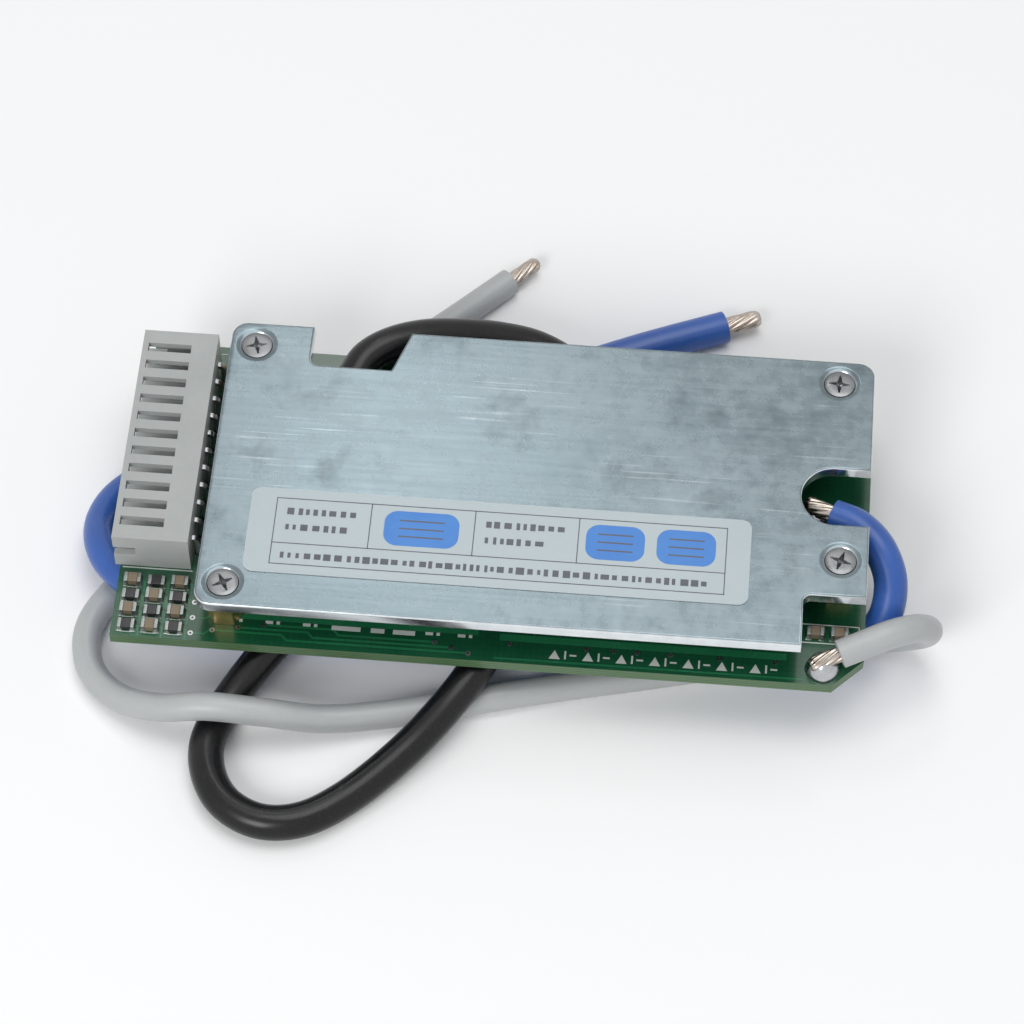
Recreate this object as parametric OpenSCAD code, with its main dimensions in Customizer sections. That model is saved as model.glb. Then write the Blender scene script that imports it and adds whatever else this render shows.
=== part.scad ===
// Battery management board: a ten-cell protection board under an aluminium heat plate,
// with a side-entry balance header and three soldered power leads wound beneath it.
// The board lies level: X runs along it, Y to the rear, Z up.
// The origin is at the board's centre, half way up the board with its plate.

/* [Circuit board] */
// Length of the circuit board
pcb_l = 88; // [86:1:92]
// Depth of the circuit board
pcb_w = 42; // [41:1:44]
// Thickness of the circuit board
pcb_t = 1.6; // [1.2:0.1:2]
// Cut across the front right corner of the board
pcb_chamfer = 3.6; // [1:0.2:4.4]
// Height of the solder joints and nuts below the board
joint_h = 1.1; // [0.9:0.1:1.4]

/* [Heat plate] */
// Thickness of the aluminium plate
plate_t = 1.8; // [1.4:0.1:2.4]
// Room between the board and the plate
plate_gap = 4.7; // [4.6:0.1:5.6]
// How far the plate stays behind the board's front edge
plate_front = 1.2; // [0.6:0.1:1.8]
// How far the plate stays in front of the board's rear edge
plate_rear = 0.6; // [0.2:0.1:1]
// How far the plate stays inside the board's right edge
plate_right = 0.3; // [0:0.1:1]
// Radius of the plate's outer corners
plate_r = 2; // [1:0.2:2.6]
// Depth of the rear notch, where the black lead comes out
notch_d = 5.6; // [4.8:0.2:6.4]
// Width of the rear notch at its floor
notch_w = 9.8; // [9:0.2:11]
// How far the notch's right side leans outwards
notch_lean = 2; // [0:0.2:3]
// Width of the slot in the right edge, where the blue lead comes out
slot_w = 7.8; // [6:0.2:9]
// Length of the cut at the front right corner, where the white lead comes out
cut_l = 7.3; // [6:0.1:8]
// Depth of the cut at the front right corner
cut_w = 7; // [6:0.2:7.6]

/* [Screws] */
// Diameter of the screws that hold the plate
screw_d = 2; // [1.6:0.1:2.5]
// Diameter of the screw heads
screw_head_d = 3.8; // [3.4:0.1:4.2]
// Depth of the dimple round each screw head
dimple_d = 1; // [0.6:0.1:1.2]
// Width of the six-sided spacers between the board and the plate
spacer_w = 4; // [3.6:0.1:4.6]
// Width of the nuts across their flats
nut_w = 4; // [3.6:0.1:4.4]

/* [Balance header] */
// Number of ways
ways = 11; // [9:1:11]
// Distance from one pin to the next
pitch = 2.5; // [2.3:0.05:2.6]
// Length of the housing past the first and the last pin
header_end = 2.45; // [2:0.05:2.8]
// Depth of the housing, from its mouth to its back
header_depth = 9; // [8.4:0.1:9.4]
// Height of the housing
header_h = 6; // [5.4:0.1:6.8]
// How far the mouth stands out over the board's left edge
header_over = 0.6; // [0:0.1:1.2]
// Distance from the board's rear edge to the housing
header_rear = 2.4; // [1.6:0.2:4]
// Thickness of the housing's walls
header_wall = 0.9; // [0.7:0.05:1.1]
// Depth of the socket
socket_d = 6.6; // [6.2:0.1:7]
// Length of the windows over the pins
window_l = 5.2; // [4:0.1:5.6]
// Width of the windows over the pins
window_w = 1.2; // [0.9:0.05:1.5]
// Width and thickness of the square pins
pin_w = 0.64; // [0.5:0.02:0.7]
// How far the pins' tips stay behind the mouth
tip_in = 1.2; // [0.6:0.1:3]
// Length of the keyways in the end walls
key_l = 2.6; // [1.6:0.1:3]
// Width of the keyways in the end walls
key_w = 1.6; // [1:0.1:2]
// Distance from the housing's back to the plate
header_to_plate = 1.6; // [1.5:0.1:2.4]

/* [Power transistors] */
// Distance from one transistor to the next
fet_pitch = 11; // [10.8:0.1:11.4]
// Width of a transistor's body
fet_w = 10; // [9.4:0.1:10.4]
// Length of a transistor's body
fet_l = 8.9; // [8.2:0.1:9.4]
// Height of a transistor above the board
fet_h = 4.4; // [4:0.1:4.5]
// How far the metal tab stands out behind the body
fet_tab = 1.3; // [1:0.1:1.6]
// How far the legs reach in front of the body
fet_leg = 3.2; // [2.6:0.1:3.6]
// Room between the legs of the two rows
row_gap = 3.2; // [2:0.2:4]

/* [Small parts] */
// Length of a current-sensing resistor
shunt_l = 6.4; // [5.8:0.1:6.6]
// Width of a current-sensing resistor
shunt_w = 3.2; // [2.8:0.1:3.6]
// Height of a current-sensing resistor
shunt_h = 0.9; // [0.6:0.1:1.4]
// Length of the controller chip
chip_l = 6.5; // [5.5:0.1:8]
// Width of the controller chip's body
chip_w = 4.4; // [4:0.1:4.8]
// Height of the controller chip
chip_h = 1.2; // [1:0.1:1.6]
// Length of a balance resistor
balance_l = 3.2; // [2.8:0.1:3.4]
// Height of the small chip parts
small_h = 0.7; // [0.5:0.05:1]
// Length of the small chip parts beside the header
small_l = 2; // [1.6:0.1:2.1]
// Width of the small chip parts beside the header
small_w = 1.25; // [0.8:0.05:1.3]
// Room between the small chip parts
small_gap = 0.8; // [0.5:0.1:1.2]
// Width of the solder on the wide tracks of the underside
track_w = 3; // [2:0.1:4]
// Thickness of the solder on those tracks
track_t = 0.3; // [0.2:0.05:0.5]

/* [Label] */
// Length of the label on the plate
label_l = 58.8; // [50:0.2:62]
// Width of the label
label_w = 11.7; // [9:0.1:13]
// Thickness of the label
label_t = 0.12; // [0.08:0.02:0.2]
// Distance from the plate's front edge to the label
label_front = 4.8; // [4:0.1:6]
// Distance from the plate's left edge to the label
label_left = 5.2; // [4:0.1:8]

/* [Leads] */
// Diameter of the black lead
black_d = 4.2; // [4:0.1:4.2]
// Diameter of the blue lead
blue_d = 4; // [3.6:0.1:4]
// Diameter of the white lead
white_d = 3.4; // [3:0.1:3.4]
// Share of a lead's diameter that its bare strands take up
strand_share = 0.56; // [0.5:0.01:0.62]
// Length of the bare strands on each solder pad
strand_l = 3.6; // [3:0.1:4]
// Length of the tinned tips
tip_l = 4.5; // [3.5:0.1:6]
// Radius of a solder mound, as a share of its lead's diameter
mound_share = 0.62; // [0.55:0.01:0.66]
// Height of the solder mounds
mound_h = 2.4; // [2.2:0.1:2.8]

/* [Hidden] */
$fn = 32;

// Levels, from the bottom of the solder joints to the top of the plate
board_z0 = -(pcb_t + plate_gap + plate_t - joint_h) / 2;
board_z1 = board_z0 + pcb_t;
plate_z0 = board_z1 + plate_gap;
plate_z1 = plate_z0 + plate_t;
eps = 0.01;
// Clearance of a screw in its holes, and of a pin in the board
fit = 0.1;

// Routes of the leads' middle lines, from the solder pad to the free end.
// The leads lie on a floor 12 mm below the origin, where they don't cross one another.
black_route = [[-19.2, 16, 0.4], [-17.8, 18.8, 0.9], [-15.2, 21, 1], [-11.6, 22.9, 0.4], [-7.2, 24.5, -1],
    [-2.2, 25.7, -2.8], [2.8, 25.9, -4.6], [7.2, 23.8, -5.9], [10, 19.4, -7.2], [10.6, 13, -9],
    [9.4, 6, -9.8], [7, 0, -8.9], [4.6, -6, -6.9], [2.2, -12, -5.8], [-0.4, -18, -6], [-3.2, -23.2, -6.5],
    [-8, -29.2, -8.5], [-14, -35.2, -9.8], [-19.2, -39, -9.9], [-24.2, -39.9, -9.9], [-28.6, -38, -9.9],
    [-31.2, -34.2, -9.9], [-31.8, -29.4, -9.9], [-29.6, -23.8, -9.3], [-25.6, -18.2, -7],
    [-21, -13.6, -5.7], [-15, -8.8, -6.9], [-9, -4, -9.4], [-4, 0.2, -9.9]];
blue_route = [[39.5, 1, 0.4], [42.6, -0.4, 0.6], [45.3, -3, -0.1], [46.8, -6.4, -2], [46.2, -10, -4.5],
    [43.2, -12.6, -6.1], [38.5, -13.2, -6.5], [32.5, -13.1, -6.4], [26.5, -12.8, -6.7], [20, -12.4, -8.5],
    [12, -12.3, -9.9], [1, -12.3, -10], [-11, -12.8, -10], [-22, -13.6, -10], [-31, -14, -9.5],
    [-38, -13.2, -7.5], [-43.2, -10.9, -6.4], [-46.9, -7, -6.9], [-48.3, -1.5, -8.6], [-46.6, 3.8, -9.8],
    [-42, 7.4, -10], [-35.5, 9.6, -10], [-26, 12.8, -10], [-15, 17, -10], [-4, 21.8, -10], [7, 26.8, -10],
    [16, 31, -10], [25.6, 35, -10]];
white_route = [[41, -18, 0.2], [43.8, -16.8, 0.8], [46.8, -15.4, 1.2], [49.6, -13.8, 0.2],
    [51.4, -12, -2.8], [51, -10.2, -6.8], [48, -9.2, -9.6], [43.5, -9.4, -10.3], [37, -11.2, -10.3],
    [29, -13.8, -10.3], [20, -16.2, -10.3], [10, -18.6, -10.3], [0, -21.2, -10.3], [-10, -24, -10.2],
    [-18.5, -26.2, -9], [-25.5, -27.2, -6.7], [-32, -27.4, -5.9], [-38, -26.9, -7.8], [-43.4, -24.6, -9.9],
    [-47, -20.8, -10.3], [-48, -15.6, -10.3], [-46, -10.5, -10.3], [-41.5, -4.6, -10.3], [-36, 2, -9],
    [-31.5, 7.6, -6.9], [-27, 13.2, -6.1], [-21.5, 20, -8.1], [-15, 27.2, -10.3], [-8, 34.1, -10.3],
    [-2, 40.1, -10.3]];
sides = 8;

// The balance header, seen from above
header_x0 = -pcb_l / 2 - header_over;
header_x1 = header_x0 + header_depth;
header_len = (ways - 1) * pitch + 2 * header_end;
header_y1 = pcb_w / 2 - header_rear;
header_y0 = header_y1 - header_len;
// Middle of the pins' width, and the line on which they go down through the board
function pin_y(i) = header_y1 - header_end - i * pitch;
bend_r = 0.3;
// How far the solder spreads from a pin on the board
pin_flare = 0.6;
pin_x = header_x1 + bend_r + pin_w / 2;
pin_z = board_z1 + header_h / 2;

// The heat plate's edges, with openings set round the leads' solder pads
plate_x0 = header_x1 + header_to_plate;
plate_x1 = pcb_l / 2 - plate_right;
plate_y0 = -pcb_w / 2 + plate_front;
plate_y1 = pcb_w / 2 - plate_rear;
notch_x0 = black_route[0].x - notch_w / 2;
notch_y = plate_y1 - notch_d;
slot_x = blue_route[0].x;
slot_y = blue_route[0].y;
cut_x = plate_x1 - cut_l;
cut_y = plate_y0 + cut_w;
inner_r = 1;
// The screws, each seated the same way from the plate's nearest edges
screw_in = 3.2;
screw_spots = [[plate_x0 + screw_in, plate_y1 - screw_in], [plate_x1 - screw_in - 1, plate_y1 - screw_in],
    [plate_x0 + screw_in, plate_y0 + screw_in],
    [plate_x1 - screw_in, (slot_y - slot_w / 2 + cut_y) / 2]];
head_h = dimple_d - 0.1;

// The small parts' columns, from the header to the transistors
leg_reach = 1;
sot_l = 2.9;
sot_w = 1.3;
sot_h = 1;
sot_stand = 0.1;
sot_leg_w = 0.4;
sot_foot = 0.5;
sot_leg_t = 0.15;
sot_leg_x = 0.95;
balance_w = 1.6;
part_gap = 0.3;
chip_room = 1.3;
balance_x = plate_x0 + part_gap + balance_l / 2;
sot_x = balance_x + balance_l / 2 + part_gap + sot_l / 2;
chip_x = sot_x + sot_l / 2 + chip_room + leg_reach + chip_w / 2;
chip_y = -1;
chip_stand = 0.1;
chip_mark_r = 0.35;
chip_mark_in = 0.9;
chip_leg_w = 0.25;
chip_leg_t = 0.15;
chip_leg_top = 0.7;
chip_leg_pitch = 0.65;
parts_x1 = chip_x + chip_w / 2 + leg_reach + chip_room;

// The transistors: as many as fit between the small parts and the slot in the plate's right edge
fet_margin = 3.4;
shunt_gap = 2;
fet_x1 = slot_x - slot_w / 2 - fet_margin - fet_w / 2;
fet_room = fet_x1 + fet_w / 2 - parts_x1 - shunt_w - shunt_gap;
fets = floor((fet_room + fet_pitch - fet_w) / fet_pitch);
function fet_x(i) = fet_x1 - (fets - 1 - i) * fet_pitch;
fet_y = row_gap / 2 + fet_leg;
pad_t = plate_gap - fet_h;
shunts = 4;
shunt_step = shunt_l + 1;
shunt_x = fet_x(0) - fet_w / 2 - shunt_gap - shunt_w / 2;

// Metal frame of a transistor: its tab, and two legs with a bend in front of the body
tab_t = 1.27;
tab_share = 0.86;
tab_in = 0.62 * fet_l;
fet_leg_t = 0.5;
fet_leg_w = 0.8;
fet_leg_pitch = 5.08;
fet_leg_top = 2;
fet_leg_in = 1;
fet_draft = 0.35;

// Small parts: rows of resistors and capacitors beside the header, two more behind the white lead's solder
end_l = 0.45;
cap_more = 0.3;
small_x0 = -pcb_l / 2 + small_gap + small_l / 2;
small_y0 = -pcb_w / 2 + small_gap + small_w / 2;
small_columns = floor((plate_x0 + pcb_l / 2 - small_gap) / (small_l + small_gap));
small_rows = floor((header_y0 + pcb_w / 2 - small_gap) / (small_w + small_gap));
function small_spots(odd) = [for (i = [0:small_columns - 1], j = [0:small_rows - 1]) if ((i + j) % 2 == odd)
    [small_x0 + i * (small_l + small_gap), small_y0 + j * (small_w + small_gap)]];
resistor_spots = small_spots(0);
mound_gap = 1.8;
corner_y = mound_at(white_route, 0).y + white_d * mound_share + mound_gap + small_w / 2;
capacitor_spots = concat(small_spots(1), [for (i = [0:1])
    [cut_x + small_gap + small_l / 2 + i * (small_l + small_gap), corner_y]]);

function unit(v) = v / norm(v);
// Middle of the solder mound at the start of a route, at a height
function mound_at(p, z) = let (back = unit(p[0] - p[1]) * strand_l * 0.55) [p[0].x + back.x, p[0].y + back.y, z];
// Direction of a route at each of its points
function headings(p) = [for (i = [0:len(p) - 1])
    i == 0 ? unit(p[1] - p[0])
    : i == len(p) - 1 ? unit(p[i] - p[i - 1])
    : unit(unit(p[i] - p[i - 1]) + unit(p[i + 1] - p[i]))];
// One side direction carried along the headings without twisting
function carried(t, n, i = 0) = i >= len(t) ? []
    : let (m = unit(n - (n * t[i]) * t[i])) concat([m], carried(t, m, i + 1));
// Angles that turn the Z axis to a direction
function turned(d) = [0, acos(d.z / norm(d)), atan2(d.y, d.x)];

// Round tube along a route, one ring at each point
module tube(p, d) {
    t = headings(p);
    n = carried(t, cross(t[0], [0, 0, 1]));
    rings = [for (i = [0:len(p) - 1]) for (k = [0:sides - 1]) let (a = 360 * k / sides)
        p[i] + d / 2 * (cos(a) * n[i] + sin(a) * cross(t[i], n[i]))];
    walls = [for (i = [0:len(p) - 2]) for (k = [0:sides - 1])
        let (a = i * sides + k, b = i * sides + (k + 1) % sides)
        each [[a, a + sides, b + sides], [a, b + sides, b]]];
    first = [for (k = [0:sides - 1]) k];
    last = [for (k = [sides - 1:-1:0]) (len(p) - 1) * sides + k];
    polyhedron(points = rings, faces = concat([first], walls, [last]));
}

// Straight round rod from a point in a direction
module rod(p, dir, l, d) {
    translate(p) rotate(turned(dir)) cylinder(h = l, d = d);
}

// Bare strands from the start of a route back over its solder pad
module strands(p, d) {
    rod(p[0], p[0] - p[1], strand_l, d * strand_share);
}

// Tinned end beyond the last point of a route
module tip(p, d) {
    e = len(p) - 1;
    rod(p[e], p[e] - p[e - 1], tip_l, d * strand_share);
}

// Dome of solder on the board round the strands of a route
module mound(p, d) {
    r = d * mound_share;
    difference() {
        translate(mound_at(p, board_z1)) rotate_extrude()
            polygon([[0, 0], [r, 0], [0.86 * r, 0.5 * mound_h], [0.45 * r, mound_h], [0, mound_h]]);
        strands(p, d);
        rod(p[0], p[1] - p[0], strand_l, d);
    }
}

// Rectangle from one corner to the other with round corners
module round_rect(p0, p1, r) {
    translate([p0.x + r, p0.y]) square([p1.x - p0.x - 2 * r, p1.y - p0.y]);
    translate([p0.x, p0.y + r]) square([p1.x - p0.x, p1.y - p0.y - 2 * r]);
    for (x = [p0.x + r, p1.x - r], y = [p0.y + r, p1.y - r]) translate([x, y]) circle(r = r);
}

// What is cut from the plate for the leads
module plate_openings() {
    // rear notch, with a leaning right side and a round corner at its left
    translate([notch_x0 + inner_r, notch_y]) square([notch_w - inner_r, notch_d + 1]);
    translate([notch_x0, notch_y + inner_r]) square([notch_w, notch_d + 1]);
    translate([notch_x0 + inner_r, notch_y + inner_r]) circle(r = inner_r);
    lean = notch_lean / notch_d;
    polygon([[notch_x0 + notch_w - eps, notch_y], [notch_x0 + notch_w, notch_y],
        [notch_x0 + notch_w + lean * (notch_d + 1), plate_y1 + 1], [notch_x0 + notch_w - eps, plate_y1 + 1]]);
    // slot in the right edge, round at its inner end
    translate([slot_x, slot_y - slot_w / 2]) square([plate_x1 - slot_x + 1, slot_w]);
    translate([slot_x, slot_y]) circle(d = slot_w, $fn = 48);
    // cut at the front right corner
    translate([cut_x + inner_r, plate_y0 - 1]) square([cut_l + 1, cut_w + 1]);
    translate([cut_x, plate_y0 - 1]) square([cut_l + 1, cut_w + 1 - inner_r]);
    translate([cut_x + inner_r, cut_y - inner_r]) circle(r = inner_r);
}

module circuit_board() {
    color("darkgreen") difference() {
        translate([-pcb_l / 2, -pcb_w / 2, board_z0]) cube([pcb_l, pcb_w, pcb_t]);
        translate([pcb_l / 2, -pcb_w / 2, board_z0 - 1]) rotate([0, 0, 45])
            cube([pcb_chamfer * sqrt(2), pcb_chamfer * sqrt(2), 2 * pcb_t + 2], center = true);
        for (s = screw_spots) translate([s.x, s.y, board_z0 - 1]) cylinder(h = pcb_t + 2, d = screw_d + 2 * fit);
        for (i = [0:ways - 1]) translate([pin_x, pin_y(i), board_z0 - 1])
            cylinder(h = pcb_t + 2, d = pin_w * sqrt(2) + fit, $fn = 12);
    }
}

// Dimple round a screw: a cone that the screw's head lies in
module dimple(r_more) {
    translate([0, 0, -dimple_d]) cylinder(h = dimple_d, r1 = screw_d / 2 + r_more, r2 = screw_head_d / 2 + r_more);
    cylinder(h = 1, r = screw_head_d / 2 + r_more);
}

module heat_plate() {
    color("silver") difference() {
        translate([0, 0, plate_z0]) linear_extrude(plate_t) difference() {
            round_rect([plate_x0, plate_y0], [plate_x1, plate_y1], plate_r);
            plate_openings();
        }
        for (s = screw_spots) translate([s.x, s.y, plate_z1]) {
            dimple(fit);
            translate([0, 0, -plate_t - 1]) cylinder(h = plate_t + 1, d = screw_d + 2 * fit);
        }
    }
}

// Soft pad between the bodies of one row of transistors and the plate
module thermal_pad(side) {
    color("lightslategray") translate([fet_x(0) - fet_w / 2, side > 0 ? fet_y : -fet_y - fet_l, plate_z0 - pad_t])
        cube([(fets - 1) * fet_pitch + fet_w, fet_l, pad_t]);
}

module plate_label() {
    color("gainsboro") translate([0, 0, plate_z1]) linear_extrude(label_t)
        round_rect([plate_x0 + label_left, plate_y0 + label_front],
            [plate_x0 + label_left + label_l, plate_y0 + label_front + label_w], 1.2);
}

module plate_spacers() {
    color("goldenrod") for (s = screw_spots) translate([s.x, s.y, board_z1]) difference() {
        cylinder(h = plate_gap, d = spacer_w / cos(30), $fn = 6);
        translate([0, 0, -1]) cylinder(h = plate_gap + 2, d = screw_d + 2 * fit);
    }
}

module plate_screws() {
    color("darkgray") for (s = screw_spots) translate([s.x, s.y, 0]) {
        translate([0, 0, board_z0 - joint_h]) cylinder(h = plate_z1 - board_z0 + joint_h - head_h / 2, d = screw_d);
        translate([0, 0, plate_z1 - dimple_d]) cylinder(h = head_h, r1 = screw_d / 2, r2 = screw_head_d / 2 - fit);
    }
}

module screw_nuts() {
    color("gray") for (s = screw_spots) translate([s.x, s.y, board_z0 - joint_h]) difference() {
        cylinder(h = joint_h, d = nut_w / cos(30), $fn = 6);
        translate([0, 0, -1]) cylinder(h = joint_h + 2, d = screw_d);
    }
}

// Side-entry housing: a back, a floor and two end walls round the socket
module header_housing() {
    roof_z = board_z1 + header_h - header_wall;
    color("whitesmoke") difference() {
        translate([header_x0, header_y0, board_z1]) cube([header_depth, header_len, header_h]);
        translate([header_x0 - 1, header_y0 + header_wall, board_z1 + header_wall])
            cube([socket_d + 1, header_len - 2 * header_wall, header_h]);
        for (i = [0:ways - 1]) translate([header_x0, pin_y(i), pin_z])
            cube([3 * header_depth, pin_w, pin_w], center = true);
        // keyways in both end walls
        translate([header_x0 - 1, header_y0 - 1, pin_z - key_w / 2]) cube([key_l + 1, header_len + 2, key_w]);
    }
}

// The socket's roof, with a window over each pin
module header_roof() {
    color("whitesmoke") difference() {
        translate([header_x0, header_y0 + header_wall, board_z1 + header_h - header_wall])
            cube([socket_d, header_len - 2 * header_wall, header_wall]);
        for (i = [0:ways - 1]) translate([header_x0 + (socket_d - window_l) / 2, pin_y(i) - window_w / 2, pin_z])
            cube([window_l, window_w, header_h]);
    }
}

// Square pin: along the socket, round a bend and down through the board
module header_pins() {
    tip_x = header_depth - tip_in;
    low_z = board_z0 - joint_h - pin_z + pin_w / 2;
    out_r = bend_r + pin_w;
    steps = [90:-22.5:0];
    color("gainsboro") for (i = [0:ways - 1])
        translate([header_x1, pin_y(i) + pin_w / 2, pin_z - pin_w / 2]) rotate([90, 0, 0]) linear_extrude(pin_w)
            polygon(concat([[-tip_x, 0], [-tip_x, pin_w]],
                [for (a = steps) [out_r * cos(a), out_r * sin(a) - bend_r]],
                [[out_r, low_z], [bend_r, low_z]],
                [for (a = steps) [bend_r * sin(a), bend_r * cos(a) - bend_r]]));
}

module header_solder() {
    cone_h = 0.75 * joint_h;
    tip_r = pin_w / 2 + pin_flare / 2;
    color("silver") for (i = [0:ways - 1]) translate([pin_x, pin_y(i), board_z0]) difference() {
        translate([0, 0, -cone_h]) cylinder(h = cone_h, r1 = tip_r, r2 = pin_w / 2 + pin_flare, $fn = 8);
        cube([pin_w, pin_w, 3 * joint_h], center = true);
    }
}

// One row of transistors' parts, their tabs turned to the rear (side 1) or to the front (side -1)
module fet_row(side) {
    for (i = [0:fets - 1]) translate([fet_x(i), side * fet_y, board_z1])
        rotate([0, 0, side > 0 ? 0 : 180]) children();
}

// Moulded bodies with drafted sides
module mosfet_bodies(side) {
    mid = 0.45 * fet_h;
    color("dimgray") fet_row(side) difference() {
        translate([0, fet_l, 0]) rotate([90, 0, 0]) linear_extrude(fet_l)
            polygon([[-fet_w / 2 + fet_draft, 0], [fet_w / 2 - fet_draft, 0], [fet_w / 2, mid],
                [fet_w / 2 - fet_draft, fet_h], [-fet_w / 2 + fet_draft, fet_h], [-fet_w / 2, mid]]);
        frame_shape();
    }
}

// Heat tab below the body and two bent legs in front of it
module frame_shape() {
    leg_end = fet_leg_top - fet_leg_t;
    translate([-fet_w * tab_share / 2, fet_l - tab_in, 0]) cube([fet_w * tab_share, tab_in + fet_tab, tab_t]);
    for (s = [-1, 1]) translate([(s * fet_leg_pitch + fet_leg_w) / 2, 0, 0]) rotate([90, 0, -90])
        linear_extrude(fet_leg_w)
            polygon([[-fet_leg_in, fet_leg_top], [0.2 * fet_leg, fet_leg_top], [0.38 * fet_leg, fet_leg_t],
                [fet_leg, fet_leg_t], [fet_leg, 0], [0.25 * fet_leg, 0], [0.1 * fet_leg, leg_end],
                [-fet_leg_in, leg_end]]);
}

module mosfet_frames(side) {
    color("silver") fet_row(side) frame_shape();
}

module shunt_resistors() {
    color("darkslategray") for (i = [0:shunts - 1])
        translate([shunt_x - shunt_w / 2, (i - (shunts - 1) / 2) * shunt_step - shunt_l / 2 + 1, board_z1])
            cube([shunt_w, shunt_l - 2, shunt_h]);
}

module shunt_ends() {
    color("silver") for (i = [0:shunts - 1], s = [-1, 1])
        translate([shunt_x, (i - (shunts - 1) / 2) * shunt_step + s * (shunt_l / 2 - 0.5), board_z1 + shunt_h / 2])
            cube([shunt_w, 1, shunt_h], center = true);
}

module controller_chip() {
    body_h = chip_h - chip_stand;
    color("dimgray") translate([chip_x, chip_y, board_z1 + chip_stand]) difference() {
        translate([-chip_w / 2, -chip_l / 2, 0]) cube([chip_w, chip_l, body_h]);
        translate([chip_mark_in - chip_w / 2, chip_l / 2 - chip_mark_in, body_h - chip_stand])
            cylinder(h = 1, r = chip_mark_r);
    }
}

module controller_legs() {
    legs = floor((chip_l - 0.5) / chip_leg_pitch);
    under = chip_leg_top - chip_leg_t;
    color("silver") for (k = [0:legs - 1], s = [0, 180])
        translate([chip_x, chip_y, board_z1]) rotate([0, 0, s])
            translate([chip_w / 2, (k - (legs - 1) / 2) * chip_leg_pitch + chip_leg_w / 2, 0]) rotate([90, 0, 0])
                linear_extrude(chip_leg_w) polygon([[0, chip_leg_top], [0.3 * leg_reach, chip_leg_top],
                    [0.55 * leg_reach, chip_leg_t], [leg_reach, chip_leg_t], [leg_reach, 0],
                    [0.45 * leg_reach, 0], [0.2 * leg_reach, under], [0, under]]);
}

// One chip part without its metal ends, centred on a spot
module chip_body(spot, l, w, h) {
    translate([spot.x - l / 2 + end_l, spot.y - w / 2, board_z1]) cube([l - 2 * end_l, w, h]);
}

module chip_end_pair(spot, l, w, h) {
    for (s = [-1, 1]) translate([spot.x + s * (l - end_l) / 2, spot.y, board_z1 + h / 2])
        cube([end_l, w, h], center = true);
}

cells = ways - 1;
balance_spots = [for (i = [1:cells]) [balance_x, pin_y(i)]];

module balance_resistors() {
    color("darkslategray") for (s = balance_spots) chip_body(s, balance_l, balance_w, small_h);
}

module chip_resistors() {
    color("darkslategray") for (s = resistor_spots) chip_body(s, small_l, small_w, small_h);
}

module chip_capacitors() {
    color("tan") for (s = capacitor_spots) chip_body(s, small_l, small_w, small_h + cap_more);
}

module chip_ends() {
    color("silver") {
        for (s = balance_spots) chip_end_pair(s, balance_l, balance_w, small_h);
        for (s = resistor_spots) chip_end_pair(s, small_l, small_w, small_h);
        for (s = capacitor_spots) chip_end_pair(s, small_l, small_w, small_h + cap_more);
    }
}

module balance_transistors() {
    body_h = sot_h - sot_stand;
    color("dimgray") for (i = [1:cells]) translate([sot_x, pin_y(i), board_z1 + sot_stand + body_h / 2])
        cube([sot_l, sot_w, body_h], center = true);
}

// Two legs on one side of each small transistor and one on the other
module transistor_legs() {
    top = 0.6 * sot_h;
    under = top - sot_leg_t;
    color("silver") for (i = [1:cells], p = [[-sot_leg_x, 1], [sot_leg_x, 1], [0, -1]])
        translate([sot_x + p.x - p.y * sot_leg_w / 2, pin_y(i) + p.y * sot_w / 2, board_z1])
            rotate([90, 0, 90 * p.y]) linear_extrude(sot_leg_w)
                polygon([[0, top], [0.4 * sot_foot, top], [0.6 * sot_foot, sot_leg_t], [sot_foot, sot_leg_t],
                    [sot_foot, 0], [0.4 * sot_foot, 0], [0.2 * sot_foot, under], [0, under]]);
}

// Solder laid along the wide tracks on the underside, below the transistors' legs
module track_solder() {
    color("silver") for (y = [-fet_y, fet_y])
        translate([fet_x(0) - fet_w / 2, y - track_w / 2, board_z0 - track_t])
            cube([(fets - 1) * fet_pitch + fet_w, track_w, track_t]);
}

circuit_board();
heat_plate();
thermal_pad(1);  // thermal_pad_rear
thermal_pad(-1);  // thermal_pad_front
plate_label();
plate_spacers();
plate_screws();
screw_nuts();
header_housing();
header_roof();
header_pins();
header_solder();
mosfet_bodies(1);  // rear_mosfets
mosfet_bodies(-1);  // front_mosfets
mosfet_frames(1);  // rear_mosfet_frames
mosfet_frames(-1);  // front_mosfet_frames
shunt_resistors();
shunt_ends();
controller_chip();
controller_legs();
balance_resistors();
balance_transistors();
transistor_legs();
chip_resistors();
chip_capacitors();
chip_ends();
track_solder();
color("silver") mound(black_route, black_d);  // black_mound
color("silver") mound(blue_route, blue_d);  // blue_mound
color("silver") mound(white_route, white_d);  // white_mound
color("silver") strands(black_route, black_d);  // black_strands
color("silver") strands(blue_route, blue_d);  // blue_strands
color("silver") strands(white_route, white_d);  // white_strands
color("black") tube(black_route, black_d);  // black_lead
color("royalblue") tube(blue_route, blue_d);  // blue_lead
color("gainsboro") tube(white_route, white_d);  // white_lead
color("silver") tip(black_route, black_d);  // black_tip
color("silver") tip(blue_route, blue_d);  // blue_tip
color("silver") tip(white_route, white_d);  // white_tip
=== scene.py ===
"""Looks of the battery management board: jackets, strands, solder, print, tracks and finishes."""
import math
import bmesh
import bpy
import numpy as np
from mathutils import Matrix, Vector
from mathutils.geometry import tessellate_polygon


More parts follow.
